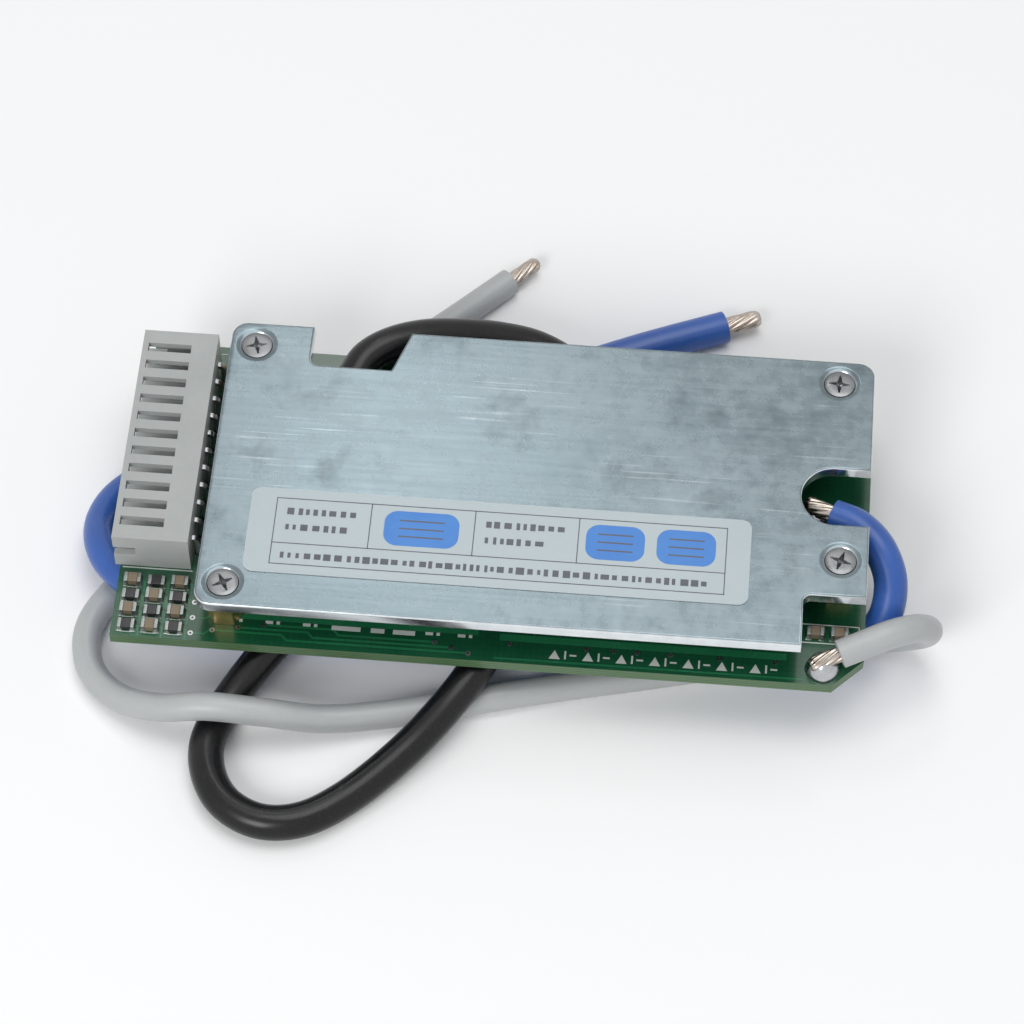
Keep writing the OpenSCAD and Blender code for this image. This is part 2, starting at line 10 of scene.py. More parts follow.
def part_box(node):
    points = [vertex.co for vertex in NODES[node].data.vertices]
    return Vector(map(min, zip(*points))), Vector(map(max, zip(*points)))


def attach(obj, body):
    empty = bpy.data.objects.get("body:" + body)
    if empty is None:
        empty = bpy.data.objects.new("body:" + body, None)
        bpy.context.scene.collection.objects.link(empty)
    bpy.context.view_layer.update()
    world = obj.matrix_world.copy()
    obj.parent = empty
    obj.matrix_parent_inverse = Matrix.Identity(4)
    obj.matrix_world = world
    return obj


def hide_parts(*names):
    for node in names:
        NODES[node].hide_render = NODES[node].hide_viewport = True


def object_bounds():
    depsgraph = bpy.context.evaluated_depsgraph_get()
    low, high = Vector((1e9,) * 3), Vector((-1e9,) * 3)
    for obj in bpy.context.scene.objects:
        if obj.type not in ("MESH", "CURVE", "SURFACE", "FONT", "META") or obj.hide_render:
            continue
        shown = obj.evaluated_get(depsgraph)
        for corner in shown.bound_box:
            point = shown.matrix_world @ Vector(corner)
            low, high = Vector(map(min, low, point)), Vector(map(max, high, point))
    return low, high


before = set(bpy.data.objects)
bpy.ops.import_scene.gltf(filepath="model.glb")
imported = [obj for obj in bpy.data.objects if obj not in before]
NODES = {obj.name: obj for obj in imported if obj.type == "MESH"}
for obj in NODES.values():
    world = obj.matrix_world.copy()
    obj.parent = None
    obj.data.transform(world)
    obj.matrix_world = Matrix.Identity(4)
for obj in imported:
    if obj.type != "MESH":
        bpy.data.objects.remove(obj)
CAD_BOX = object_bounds()
MM = 0.001


# ---- shader tools

class Tree:
    """Adds nodes to a node tree and links them."""

    def __init__(self, tree):
        self.tree = tree

    def feed(self, socket, value):
        """Fills a socket: linked where the value is another socket, and set where it is a number, a vector,
        or a colour in linear red, green and blue."""
        if isinstance(value, bpy.types.NodeSocket):
            self.tree.links.new(value, socket)
        else:
            socket.default_value = (*value, 1.0) if socket.type == "RGBA" else value

    def add(self, kind, ins=None, **props):
        """A new shader node with its settings, and its sockets filled."""
        node = self.tree.nodes.new("ShaderNode" + kind)
        for key, value in props.items():
            setattr(node, key, value)
        for key, value in (ins or {}).items():
            self.feed(node.inputs[key], value)
        return node

    def math(self, kind, a, b=0.5, clamp=False):
        """One step of arithmetic on two values."""
        return self.add("Math", {0: a, 1: b}, operation=kind, use_clamp=clamp).outputs[0]

    def parts(self, a, share_a, b, share_b):
        """The sum of two values, each times its share."""
        return self.math("ADD", self.math("MULTIPLY", a, share_a), self.math("MULTIPLY", b, share_b))

    def mix(self, factor, a, b):
        """Colour a where the factor is 0 and colour b where it is 1."""
        return self.add("Mix", {0: factor, 6: a, 7: b}, data_type="RGBA").outputs[2]

    def range(self, value, low, high, to_low=0.0, to_high=1.0):
        """A value's run from low to high, spread evenly over another run and held at its ends."""
        return self.add("MapRange", {0: value, 1: low, 2: high, 3: to_low, 4: to_high}).outputs[0]

    def place(self):
        """The piece's own coordinates, in metres."""
        return self.add("TexCoord").outputs["Object"]

    def stretched(self, where, scale, turn=(0.0, 0.0, 0.0)):
        """A place scaled along each axis, then turned."""
        return self.add("Mapping", {"Vector": where, "Rotation": turn, "Scale": scale}).outputs[0]

    def noise(self, where, scale, detail, rough):
        """Smooth noise between 0 and 1, with finer layers added by its detail and roughness."""
        ins = {"Vector": where, "Scale": scale, "Detail": detail, "Roughness": rough}
        return self.add("TexNoise", ins).outputs[0]

    def bands(self, where, scale, distortion, axis):
        """Even bands across one axis, from 0 to 1."""
        ins = {"Vector": where, "Scale": scale, "Distortion": distortion}
        return self.add("TexWave", ins, bands_direction=axis).outputs[0]

    def level(self):
        """How level a face lies: the size of its normal's Z, 1 on a flat top and 0 on a side."""
        normal = self.add("NewGeometry").outputs["Normal"]
        return self.math("ABSOLUTE", self.add("SeparateXYZ", {0: normal}).outputs[2])

    def bump(self, height, strength, distance):
        """A normal that leans with the slope of a height."""
        return self.add("Bump", {"Height": height, "Strength": strength, "Distance": distance}).outputs[0]


def group_of(name, ins, outs, build):
    """A node group with named inputs (name, kind, default) and outputs (name, kind)."""
    tree = bpy.data.node_groups.new(name, "ShaderNodeTree")
    for label, kind, value in ins:
        socket = tree.interface.new_socket(label, in_out="INPUT", socket_type="NodeSocket" + kind)
        if value is not None:
            socket.default_value = value
    for label, kind in outs:
        tree.interface.new_socket(label, in_out="OUTPUT", socket_type="NodeSocket" + kind)
    t = Tree(tree)
    start, end = tree.nodes.new("NodeGroupInput"), tree.nodes.new("NodeGroupOutput")
    for label, socket in build(t, start.outputs).items():
        t.feed(end.inputs[label], socket)
    return tree


def mottle_build(t, i):
    """Cloudy change from two sizes of noise, three parts wide to one fine, and a fine grain as height."""
    wide = t.noise(i["Vector"], i["Cloud Scale"], 4.0, 0.6)
    fine = t.noise(i["Vector"], i["Grain Scale"], 2.0, 0.6)
    cloud = t.range(wide, 0.3, 0.7)
    return {"Mask": t.parts(cloud, 0.75, fine, 0.25), "Grain": fine, "Cloud": cloud}


def scuff_build(t, i):
    """Thin straight scratches: noise drawn out along one axis, cut to its peaks, in sparse patches."""
    line = t.noise(t.stretched(i["Vector"], (60.0, 2600.0, 900.0), i["Turn"]), 1.0, 2.0, 0.5)
    sparse = t.noise(i["Vector"], 90.0, 1.0, 0.5)
    return {"Mask": t.math("MULTIPLY", t.range(line, 0.62, 0.7), t.range(sparse, 0.5, 0.62))}


MOTTLE = group_of(
    "mottle", [("Vector", "Vector", None), ("Cloud Scale", "Float", 100.0), ("Grain Scale", "Float", 2000.0)],
    [("Mask", "Float"), ("Grain", "Float"), ("Cloud", "Float")], mottle_build)
SCUFF = group_of(
    "scuffs", [("Vector", "Vector", None), ("Turn", "Vector", (0.0, 0.0, 0.3))],
    [("Mask", "Float")], scuff_build)


def use(t, group, **ins):
    """Puts a node group into a tree, fills its inputs and gives its outputs. A name has _ for a space."""
    node = t.tree.nodes.new("ShaderNodeGroup")
    node.node_tree = group
    for key, value in ins.items():
        t.feed(node.inputs[key.replace("_", " ")], value)
    return node.outputs


def material(name, build, **sockets):
    """A material: build(t) gives the patterns of its colour, its roughness and its normal, and sockets holds
    the values that are the same all over. A name has _ for a space."""
    mat = bpy.data.materials.new(name)
    mat.use_nodes = True
    t = Tree(mat.node_tree)
    bsdf = mat.node_tree.nodes["Principled BSDF"]
    for key, value in (*sockets.items(), *zip(("Base Color", "Roughness", "Normal"), build(t))):
        t.feed(bsdf.inputs[key.replace("_", " ")], value)
    return mat


# ---- finishes

def mottle(t, cloud, grain):
    """The cloudy change on a piece's own coordinates: the scales of its clouds and of its grain."""
    return use(t, MOTTLE, Vector=t.place(), Cloud_Scale=cloud, Grain_Scale=grain)


def rolled_aluminium(t):
    """Satin sheet: wide and narrow clouds of grey, darker handling smudges, faint rolling lines along X, a
    few short scratches, and a painted highlight that makes the upright faces near white."""
    p = t.place()
    wide = mottle(t, 70.0, 1500.0)
    small = mottle(t, 420.0, 900.0)
    rolled = t.noise(t.stretched(p, (45.0, 1500.0, 1500.0)), 1.0, 3.0, 0.6)
    scuffs = use(t, SCUFF, Vector=p)["Mask"]
    cloud = t.parts(wide["Mask"], 0.6, small["Cloud"], 0.4)
    base = t.mix(cloud, (0.09, 0.12, 0.134), (0.21, 0.256, 0.276))
    base = t.mix(t.range(rolled, 0.35, 0.65, 0.0, 0.12), base, (0.32, 0.365, 0.385))
    smudge = t.noise(p, 130.0, 4.0, 0.65)
    base = t.mix(t.range(smudge, 0.56, 0.72, 0.0, 0.45), base, (0.062, 0.082, 0.092))
    base = t.mix(t.math("MULTIPLY", scuffs, 0.22), base, (0.5, 0.54, 0.56))
    # painted highlight: faces that stand up from level take a near-white colour, in place of the pale floor's
    # reflection on the plate's walls; they are also a little smoother
    upright_faces = t.range(t.level(), 0.5, 0.9, 1.0, 0.0)
    bare = t.mix(small["Cloud"], (0.72, 0.76, 0.79), (0.86, 0.89, 0.91))
    base = t.mix(upright_faces, base, bare)
    rough = t.range(t.math("ADD", wide["Cloud"], small["Cloud"]), 0.3, 1.7, 0.22, 0.32)
    rough = t.math("MULTIPLY", rough, t.range(upright_faces, 0.0, 1.0, 1.0, 0.7))
    height = t.parts(rolled, 0.6, wide["Grain"], 0.4)
    return base, rough, t.bump(height, 0.22, 0.00004)


def solder_mask(t):
    """Deep green mask with cloudy tones and a faint weave; the cut edges are layered pale laminate."""
    p = t.place()
    m = mottle(t, 180.0, 2400.0)
    weave = t.math("MULTIPLY", t.bands(p, 420.0, 0.4, "X"), t.bands(p, 420.0, 0.4, "Y"))
    face = t.mix(m["Mask"], (0.004, 0.05, 0.022), (0.008, 0.088, 0.036))
    face = t.mix(t.math("MULTIPLY", weave, 0.18), face, (0.014, 0.12, 0.05))
    level = t.level()
    layers = t.bands(p, 800.0, 1.5, "Z")
    edge = t.mix(layers, (0.035, 0.095, 0.035), (0.085, 0.16, 0.065))
    height = t.math("ADD", t.math("MULTIPLY", weave, 0.5), m["Grain"])
    base = t.mix(t.range(level, 0.3, 0.6), edge, face)
    return base, t.range(level, 0.3, 0.6, 0.65, 0.24), t.bump(height, 0.12, 0.00002)


def moulded(low, high, rough=(0.42, 0.56), grain=1800.0):
    """Moulded plastic, epoxy or ink: two near tones, an even fine grain."""
    def build(t):
        m = mottle(t, 150.0, grain)
        return (t.mix(m["Mask"], low, high), t.range(m["Cloud"], 0.0, 1.0, *rough),
                t.bump(m["Grain"], 0.15, 0.00003))
    return build


def metal(low, high, rough=(0.22, 0.4), cloud=260.0, strength=0.15):
    """Tin, steel, brass or copper: uneven plating with slight wear."""
    def build(t):
        m = mottle(t, cloud, 3000.0)
        return (t.mix(m["Mask"], low, high), t.range(m["Mask"], 0.2, 0.8, *rough),
                t.bump(m["Grain"], strength, 0.00002))
    return build


def jacket(low, high, rough, dust, dust_colour=(0.5, 0.5, 0.5)):
    """Lead jacket: drawn along its length (the U of its map), with faint handling marks and dust."""
    def build(t):
        along = t.add("UVMap", uv_map="along").outputs[0]
        drawn = t.noise(t.stretched(along, (60.0, 14.0, 1.0)), 1.0, 3.0, 0.6)
        m = mottle(t, 140.0, 2600.0)
        base = t.mix(t.parts(drawn, 0.5, m["Mask"], 0.5), low, high)
        base = t.mix(t.range(m["Grain"], 0.58, 0.75, 0.0, dust), base, dust_colour)
        height = t.parts(drawn, 0.7, m["Grain"], 0.3)
        return base, t.range(m["Cloud"], 0.0, 1.0, *rough), t.bump(height, 0.2, 0.00004)
    return build


def label_film(t):
    """Silvery film with a faint cloudy sheen and small creases."""
    m = mottle(t, 70.0, 1600.0)
    base = t.mix(m["Mask"], (0.35, 0.405, 0.425), (0.42, 0.475, 0.495))
    return base, t.range(m["Cloud"], 0.0, 1.0, 0.30, 0.42), t.bump(m["Cloud"], 0.1, 0.0001)


# each finish: its material's name, its slot, its pattern, and the values that are the same all over
METAL = {"Metallic": 1.0}
FINISHES = {
    "board": ("green_solder_mask", "board_green", solder_mask, {"Coat_Weight": 0.35, "Coat_Roughness": 0.12}),
    "track": ("masked_copper_track", "board_green",
              moulded((0.01, 0.125, 0.05), (0.018, 0.17, 0.07), (0.22, 0.3)), {"Coat_Weight": 0.35}),
    "silk": ("white_silkscreen", "board_green",
             moulded((0.46, 0.5, 0.47), (0.58, 0.61, 0.58), (0.5, 0.65)), {}),
    "thermal": ("grey_thermal_pad", "pad_grey",
                moulded((0.16, 0.19, 0.21), (0.22, 0.25, 0.27), (0.7, 0.85)), {}),
    "label": ("silver_label_film", "label_silver", label_film, {"Metallic": 0.25}),
    "ink_grey": ("grey_ink", "label_silver",
                 moulded((0.085, 0.09, 0.105), (0.13, 0.14, 0.155), (0.5, 0.6)), {}),
    "ink_blue": ("blue_ink", "label_silver",
                 moulded((0.055, 0.2, 0.58), (0.09, 0.27, 0.66), (0.45, 0.6)), {}),
    "nylon": ("white_nylon", "header_nylon", moulded((0.36, 0.38, 0.375), (0.43, 0.445, 0.435), grain=1200.0),
              {"Subsurface_Weight": 0.12, "Subsurface_Scale": 0.0006}),
    "epoxy": ("black_epoxy", "moulding_black",
              moulded((0.018, 0.018, 0.02), (0.034, 0.034, 0.036), (0.5, 0.65)), {}),
    "resistor": ("black_resistor_glaze", "resistor_black",
                 moulded((0.01, 0.01, 0.012), (0.022, 0.022, 0.024), (0.25, 0.4)), {}),
    "capacitor": ("brown_ceramic", "capacitor_tan",
                  moulded((0.15, 0.115, 0.075), (0.235, 0.18, 0.12), (0.4, 0.55)), {}),
    "plate": ("rolled_aluminium_sheet", "plate_aluminium", rolled_aluminium, METAL),
    "brass": ("turned_brass", "spacer_brass", metal((0.52, 0.36, 0.14), (0.66, 0.48, 0.22)), METAL),
    # screws and nuts: a dark grey steel, well darker than bare steel
    "steel": ("dark_grey_steel", "screw_steel",
              metal((0.14, 0.145, 0.15), (0.27, 0.275, 0.28), (0.26, 0.46)), METAL),
    "tin": ("tin_plate", "pin_tin", metal((0.38, 0.39, 0.4), (0.54, 0.55, 0.56)), METAL),
    "chip_tin": ("dull_chip_ends", "solder_tin",
                 metal((0.19, 0.21, 0.2), (0.34, 0.365, 0.35), (0.3, 0.48), 700.0), METAL),
    "solder": ("bright_solder", "solder_tin",
               metal((0.36, 0.375, 0.385), (0.55, 0.56, 0.57), (0.14, 0.34), 500.0, strength=0.3), METAL),
    "strands": ("tinned_copper_strands", "strand_copper",
                metal((0.33, 0.27, 0.22), (0.5, 0.46, 0.42), (0.2, 0.38), 900.0), METAL),
    "black": ("black_jacket", "lead_black",
              jacket((0.003, 0.003, 0.0035), (0.007, 0.007, 0.008), (0.22, 0.34), 0.02),
              {"Specular_IOR_Level": 0.32}),
    "blue": ("blue_jacket", "lead_blue",
             jacket((0.02, 0.085, 0.35), (0.036, 0.12, 0.44), (0.26, 0.38), 0.04), {}),
    "white": ("white_jacket", "lead_white",
              jacket((0.39, 0.405, 0.41), (0.475, 0.49, 0.49), (0.32, 0.46), 0.10, (0.22, 0.21, 0.19)), {}),
}
MAT = {key: material(name, build, **sockets) for key, (name, slot, build, sockets) in FINISHES.items()}
SLOT = {key: row[1] for key, row in FINISHES.items()}
# each via's dark middle takes the black epoxy finish, as painted shade for the via's hole
MAT["via"], MAT["via_hole"] = MAT["tin"], MAT["epoxy"]
SLOT["via"], SLOT["via_hole"] = "solder_tin", "board_green"


# ---- shape tools

def closed_up(mesh):
    """Joins points that lie together, which closes a mesh's seams and poles, and turns its faces outward."""
    bm = bmesh.new()
    bm.from_mesh(mesh)
    bmesh.ops.remove_doubles(bm, verts=bm.verts, dist=2e-7)
    bmesh.ops.recalc_face_normals(bm, faces=bm.faces)
    bm.to_mesh(mesh)
    bm.free()


def mounted(name, mesh, mat, replaces=()):
    """Makes a mesh a piece of the board, with its material and the CAD nodes that it stands for."""
    mesh.materials.append(MAT[mat])
    obj = bpy.data.objects.new(name, mesh)
    bpy.context.scene.collection.objects.link(obj)
    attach(obj, "root")
    if replaces:
        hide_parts(*replaces)
    return obj


def piece(name, verts, faces, mat, smooth=True, uv=None, replaces=(), sharp=None, seams=True):
    """A mesh piece from arrays of points (metres) and faces. Where seams is true, its seams and poles are
    closed; edges sharper than sharp degrees are shaded as edges."""
    mesh = bpy.data.meshes.new(name)
    mesh.from_pydata(np.asarray(verts, float).tolist(), [], [list(map(int, f)) for f in faces])
    if uv is not None:
        layer = mesh.uv_layers.new(name="along")
        loops = np.zeros(len(mesh.loops), np.int32)
        mesh.loops.foreach_get("vertex_index", loops)
        layer.data.foreach_set("uv", np.asarray(uv, np.float32)[loops].ravel())
    mesh.polygons.foreach_set("use_smooth", np.full(len(mesh.polygons), smooth))
    mesh.update()
    mesh.validate()
    if seams:
        closed_up(mesh)
    if sharp is not None:
        mesh.set_sharp_from_angle(angle=math.radians(sharp))
    return mounted(name, mesh, mat, replaces)


def quads(nu, nv, start=0):
    """Faces of a grid of nu rows by nv points, closed round each row."""
    i, j = np.meshgrid(np.arange(nu - 1), np.arange(nv), indexing="ij")
    k = (j + 1) % nv
    return np.stack([i * nv + j, i * nv + k, (i + 1) * nv + k, (i + 1) * nv + j], -1).reshape(-1, 4) + start


def joined(grids):
    """Points and faces of several grids of rings, one after another."""
    faces, start = [], 0
    for grid in grids:
        faces += quads(*grid.shape[:2], start).tolist()
        start += grid.shape[0] * grid.shape[1]
    return np.vstack([grid.reshape(-1, 3) for grid in grids]), faces


def spline(points, step):
    """Smooth path through the points: each piece is a cubic whose end slopes are half the step between
    its neighbours, read at even distances."""
    p = np.asarray(points, float)
    ext = np.vstack([2 * p[0] - p[1], p, 2 * p[-1] - p[-2]])
    u = np.linspace(0, 1, 24, endpoint=False)[:, None]
    out = []
    for a, b, c, d in zip(ext, ext[1:], ext[2:], ext[3:]):
        square, cube = 2 * a - 5 * b + 4 * c - d, 3 * b - a - 3 * c + d
        out.append(0.5 * (2 * b + (c - a) * u + square * u ** 2 + cube * u ** 3))
    line = np.vstack(out + [p[-1:]])
    at = np.concatenate([[0], np.cumsum(np.linalg.norm(np.diff(line, axis=0), axis=1))])
    even = np.linspace(0, at[-1], max(2, int(round(at[-1] / step)) + 1))
    return np.stack([np.interp(even, at, line[:, k]) for k in range(3)], 1)


def directions(path):
    """Heading of a path at each point, and two side directions carried along it without twisting: the last
    side less its share along the new heading, made one long, and the direction square to both."""
    t = np.gradient(path, axis=0)
    t /= np.linalg.norm(t, axis=1)[:, None]
    n = np.zeros_like(t)
    side = np.cross(t[0], [0, 0, 1.0])
    for i in range(len(t)):
        side = side - t[i] * (side @ t[i])
        side = side / np.linalg.norm(side)
        n[i] = side
    return t, n, np.cross(t, n)


def even_normals(obj):
    """Shading normals in which each face counts by its area, so large faces stay flat beside small ones."""
    mesh = obj.data
    n = len(mesh.polygons)
    area, normal, size = np.zeros(n), np.zeros(n * 3), np.zeros(n, np.int32)
    mesh.polygons.foreach_get("area", area)
    mesh.polygons.foreach_get("normal", normal)
    mesh.polygons.foreach_get("loop_total", size)
    corner = np.zeros(len(mesh.loops), np.int32)
    mesh.loops.foreach_get("vertex_index", corner)
    total = np.zeros((len(mesh.vertices), 3))
    np.add.at(total, corner, np.repeat(normal.reshape(-1, 3) * area[:, None], size, axis=0))
    total /= np.maximum(np.linalg.norm(total, axis=1), 1e-20)[:, None]
    mesh.polygons.foreach_set("use_smooth", np.full(n, True))
    mesh.normals_split_custom_set_from_vertices(total.tolist())


def eased(obj, width):
    """Merges flat faces, rounds each edge sharper than 28 degrees by the width, and evens the shading."""
    bm = bmesh.new()
    bm.from_mesh(obj.data)
    bmesh.ops.remove_doubles(bm, verts=bm.verts, dist=1e-6)
    bmesh.ops.dissolve_limit(bm, angle_limit=math.radians(1.0), verts=bm.verts, edges=bm.edges)
    loose = [v for v in bm.verts if not v.link_faces]
    bmesh.ops.delete(bm, geom=loose, context="VERTS")
    edges = [e for e in bm.edges if len(e.link_faces) == 2 and e.calc_face_angle(0) > math.radians(28)]
    bmesh.ops.bevel(bm, geom=edges, offset=width, offset_type="OFFSET", segments=2, profile=0.5,
                    affect="EDGES", clamp_overlap=True)
    bm.to_mesh(obj.data)
    bm.free()
    even_normals(obj)


def softened(node, name, mat, width):
    """A copy of a CAD node with rounded edges."""
    mesh = NODES[node].data.copy()
    mesh.name = name
    mesh.materials.clear()
    eased(mounted(name, mesh, mat, (node,)), width)


# ---- camera, floor and light

scene = bpy.context.scene
scene.view_settings.view_transform = "Standard"
LOW, HIGH = CAD_BOX
CENTRE = (LOW + HIGH) / 2
AZ, EL, FAR = math.radians(4.7), math.radians(57.0), 0.46
back = Vector((math.sin(AZ) * math.cos(EL), -math.cos(AZ) * math.cos(EL), math.sin(EL)))


def aimed(name, data, place, heading):
    """Puts a camera or a lamp at a place, turned to look along a heading."""
    obj = bpy.data.objects.new(name, data)
    scene.collection.objects.link(obj)
    obj.location = place
    obj.rotation_mode = "QUATERNION"
    obj.rotation_quaternion = heading.to_track_quat("-Z", "Y")
    return obj


cam_data = bpy.data.cameras.new("camera")
cam_data.lens, cam_data.sensor_width = 135.0, 36.0
cam_data.clip_start, cam_data.clip_end = 0.01, 20.0
scene.camera = aimed("camera", cam_data, CENTRE + back * FAR, -back)


def softbox(name, place, size, power):
    """A square lamp that faces the board's centre: its side in metres and its power in watts."""
    data = bpy.data.lights.new(name, "AREA")
    data.shape, data.size, data.energy = "SQUARE", size, power
    aimed(name, data, place, -Vector(place))


softbox("front_left", (-0.28, -0.62, 0.52), 0.35, 3.2)
softbox("above", (0.10, 0.10, 0.95), 0.6, 3.2)
softbox("rear_left", (-0.075, 0.435, 0.66), 0.10, 0.21)

# the room is white to the camera, to reflections and through clear pieces, and lights the board at 0.40
world = bpy.data.worlds.new("room")
world.use_nodes = True
scene.world = world
world.node_tree.nodes.clear()
sky = Tree(world.node_tree)
path_of = sky.add("LightPath").outputs
ray = sky.math("ADD", path_of["Is Camera Ray"], path_of["Is Glossy Ray"], clamp=True)
ray = sky.math("ADD", ray, path_of["Is Transmission Ray"], clamp=True)
room = sky.add("Background", {"Color": (0.96, 0.98, 1.0), "Strength": 0.40}).outputs[0]
seen = sky.add("Background", {"Color": (1.0, 1.0, 1.0), "Strength": 1.0}).outputs[0]
surface = sky.add("MixShader", {0: ray, 1: room, 2: seen}).outputs[0]
sky.feed(world.node_tree.nodes.new("ShaderNodeOutputWorld").inputs[0], surface)

FLOOR_HALF = 3.0
floor_mesh = bpy.data.meshes.new("floor")
corners = ((-1, -1), (1, -1), (1, 1), (-1, 1))
floor_mesh.from_pydata([(x * FLOOR_HALF, y * FLOOR_HALF, LOW.z) for x, y in corners], [], [(0, 1, 2, 3)])
pale_floor = material("pale_floor", lambda t: (), Base_Color=(0.97, 0.97, 0.97), Roughness=0.8)
floor_mesh.materials.append(pale_floor)
floor = bpy.data.objects.new("floor", floor_mesh)
scene.collection.objects.link(floor)

# ---- leads

# each lead's way from its joint to its tip, in millimetres
BLACK_ROUTE = [(-19.2, 16, 0.4), (-17.8, 18.8, 0.9), (-15.2, 21, 1), (-11.6, 22.9, 0.4), (-7.2, 24.5, -1),
    (-2.2, 25.7, -2.8), (2.8, 25.9, -4.6), (7.2, 23.8, -5.9), (10, 19.4, -7.2), (10.6, 13, -9),
    (9.4, 6, -9.8), (7, 0, -8.9), (4.6, -6, -6.9), (2.2, -12, -5.8), (-0.4, -18, -6), (-3.2, -23.2, -6.5),
    (-8, -29.2, -8.5), (-14, -35.2, -9.8), (-19.2, -39, -9.9), (-24.2, -39.9, -9.9), (-28.6, -38, -9.9),
    (-31.2, -34.2, -9.9), (-31.8, -29.4, -9.9), (-29.6, -23.8, -9.3), (-25.6, -18.2, -7),
    (-21, -13.6, -5.7), (-15, -8.8, -6.9), (-9, -4, -9.4), (-4, 0.2, -9.9)]
BLUE_ROUTE = [(39.5, 1, 0.4), (42.6, -0.4, 0.6), (45.3, -3, -0.1), (46.8, -6.4, -2), (46.2, -10, -4.5),
    (43.2, -12.6, -6.1), (38.5, -13.2, -6.5), (32.5, -13.1, -6.4), (26.5, -12.8, -6.7), (20, -12.4, -8.5),
    (12, -12.3, -9.9), (1, -12.3, -10), (-11, -12.8, -10), (-22, -13.6, -10), (-31, -14, -9.5),
    (-38, -13.2, -7.5), (-43.2, -10.9, -6.4), (-46.9, -7, -6.9), (-48.3, -1.5, -8.6), (-46.6, 3.8, -9.8),
    (-42, 7.4, -10), (-35.5, 9.6, -10), (-26, 12.8, -10), (-15, 17, -10), (-4, 21.8, -10), (7, 26.8, -10),
    (16, 31, -10), (25.6, 35, -10)]
WHITE_ROUTE = [(41, -18, 0.2), (43.8, -16.8, 0.8), (46.8, -15.4, 1.2), (49.6, -13.8, 0.2),
    (51.4, -12, -2.8), (51, -10.2, -6.8), (48, -9.2, -9.6), (43.5, -9.4, -10.3), (37, -11.2, -10.3),
    (29, -13.8, -10.3), (20, -16.2, -10.3), (10, -18.6, -10.3), (0, -21.2, -10.3), (-10, -24, -10.2),
    (-18.5, -26.2, -9), (-25.5, -27.2, -6.7), (-32, -27.4, -5.9), (-38, -26.9, -7.8), (-43.4, -24.6, -9.9),
    (-47, -20.8, -10.3), (-48, -15.6, -10.3), (-46, -10.5, -10.3), (-41.5, -4.6, -10.3), (-36, 2, -9),
    (-31.5, 7.6, -6.9), (-27, 13.2, -6.1), (-21.5, 20, -8.1), (-15, 27.2, -10.3), (-8, 34.1, -10.3),
    (-2, 40.1, -10.3)]
STRAND_SHARE = 0.56  # the strands' diameter, as a share of the jacket's
ROOT_BARE, TIP_BARE = 3.6 * MM, 4.5 * MM


def strand_bundle(name, start, heading, length, d, node):
    """Twisted strands: a circle with nine lobes that turn once in eight diameters. The grooves between them
    are 0.16 of the radius deep, and the last seventh draws in by 0.35 of it, as the square of its share."""
    heading = np.asarray(heading, float) / np.linalg.norm(heading)
    nu, nv, r = 40, 72, d / 2
    x = np.linspace(0, length, nu)
    a = np.linspace(0, 2 * np.pi, nv, endpoint=False)
    turn = 2 * np.pi * x / (8 * d)
    lobes = 1 - 0.16 * (0.5 + 0.5 * np.cos(9 * (a[None, :] - turn[:, None]))) ** 2
    taper = 1 - 0.35 * np.clip((x - 0.86 * length) / (0.14 * length), 0, 1) ** 2
    rr = r * lobes * taper[:, None]
    side = np.cross(heading, [0.0, 0.0, 1.0])
    side /= np.linalg.norm(side)
    up = np.cross(side, heading)
    ring = np.cos(a)[None, :, None] * side + np.sin(a)[None, :, None] * up
    middle = np.asarray(start, float) + x[:, None, None] * heading + 0 * ring
    rows = np.concatenate([middle[:1], middle + rr[:, :, None] * ring, middle[-1:]])
    return piece(name, *joined([rows]), "strands", replaces=(node,))


def lead(name, route, d):
    """A jacket: a circle carried along the smooth path through its route, square to it. Each end is cut
    square, rounded a little, and bored for its strands to half a diameter deep."""
    points = np.array(route) * MM
    path = spline(points, 0.0006)
    path[:, 2] = np.maximum(path[:, 2], LOW.z + d / 2 + 0.01 * MM)
    t, n, b = directions(path)
    nv, r, hole, lip = 28, d / 2, d * STRAND_SHARE / 2, 0.09 * d
    a = np.linspace(0, 2 * np.pi, nv, endpoint=False)
    ring = np.cos(a)[None, :, None] * n[:, None, :] + np.sin(a)[None, :, None] * b[:, None, :]
    body = path[:, None, :] + r * ring
    # an end's rings from the bottom of its bore outward: radius, and distance in from the end
    steps = [(0.0, 0.5 * d), (hole, 0.5 * d), (hole, 0.0), (r - lip, 0.0), (r, 0.35 * lip)]
    first = [path[0] + out * ring[0] + back * t[0] for out, back in steps]
    last = [path[-1] + out * ring[-1] - back * t[-1] for out, back in steps[::-1]]
    rows = np.array(first + list(body[1:-1]) + last)
    length = np.concatenate([[0], np.cumsum(np.linalg.norm(np.diff(path, axis=0), axis=1))])
    end = len(rows) - 1
    along = np.interp(np.arange(end + 1), [0, 4, end - 4, end], [0, 0, length[-1], length[-1]])
    uv = np.stack([np.repeat(along * 10, nv), np.tile(a / (2 * np.pi), len(rows))], 1)
    obj = piece(name + "_jacket", *joined([rows]), name, uv=uv, replaces=(name + "_lead",), sharp=50)
    inside, bundle = 0.3 * d, d * STRAND_SHARE * 0.99
    strand_bundle(name + "_root_strands", points[0] + inside * t[0], points[0] - points[1],
                  ROOT_BARE + inside, bundle, name + "_strands")
    tip = strand_bundle(name + "_bare_tip", points[-1] - inside * t[-1], points[-1] - points[-2],
                        TIP_BARE + inside, bundle, name + "_tip")


lead("black", BLACK_ROUTE, 4.2 * MM)
lead("blue", BLUE_ROUTE, 4.0 * MM)
lead("white", WHITE_ROUTE, 3.4 * MM)


# ---- solder

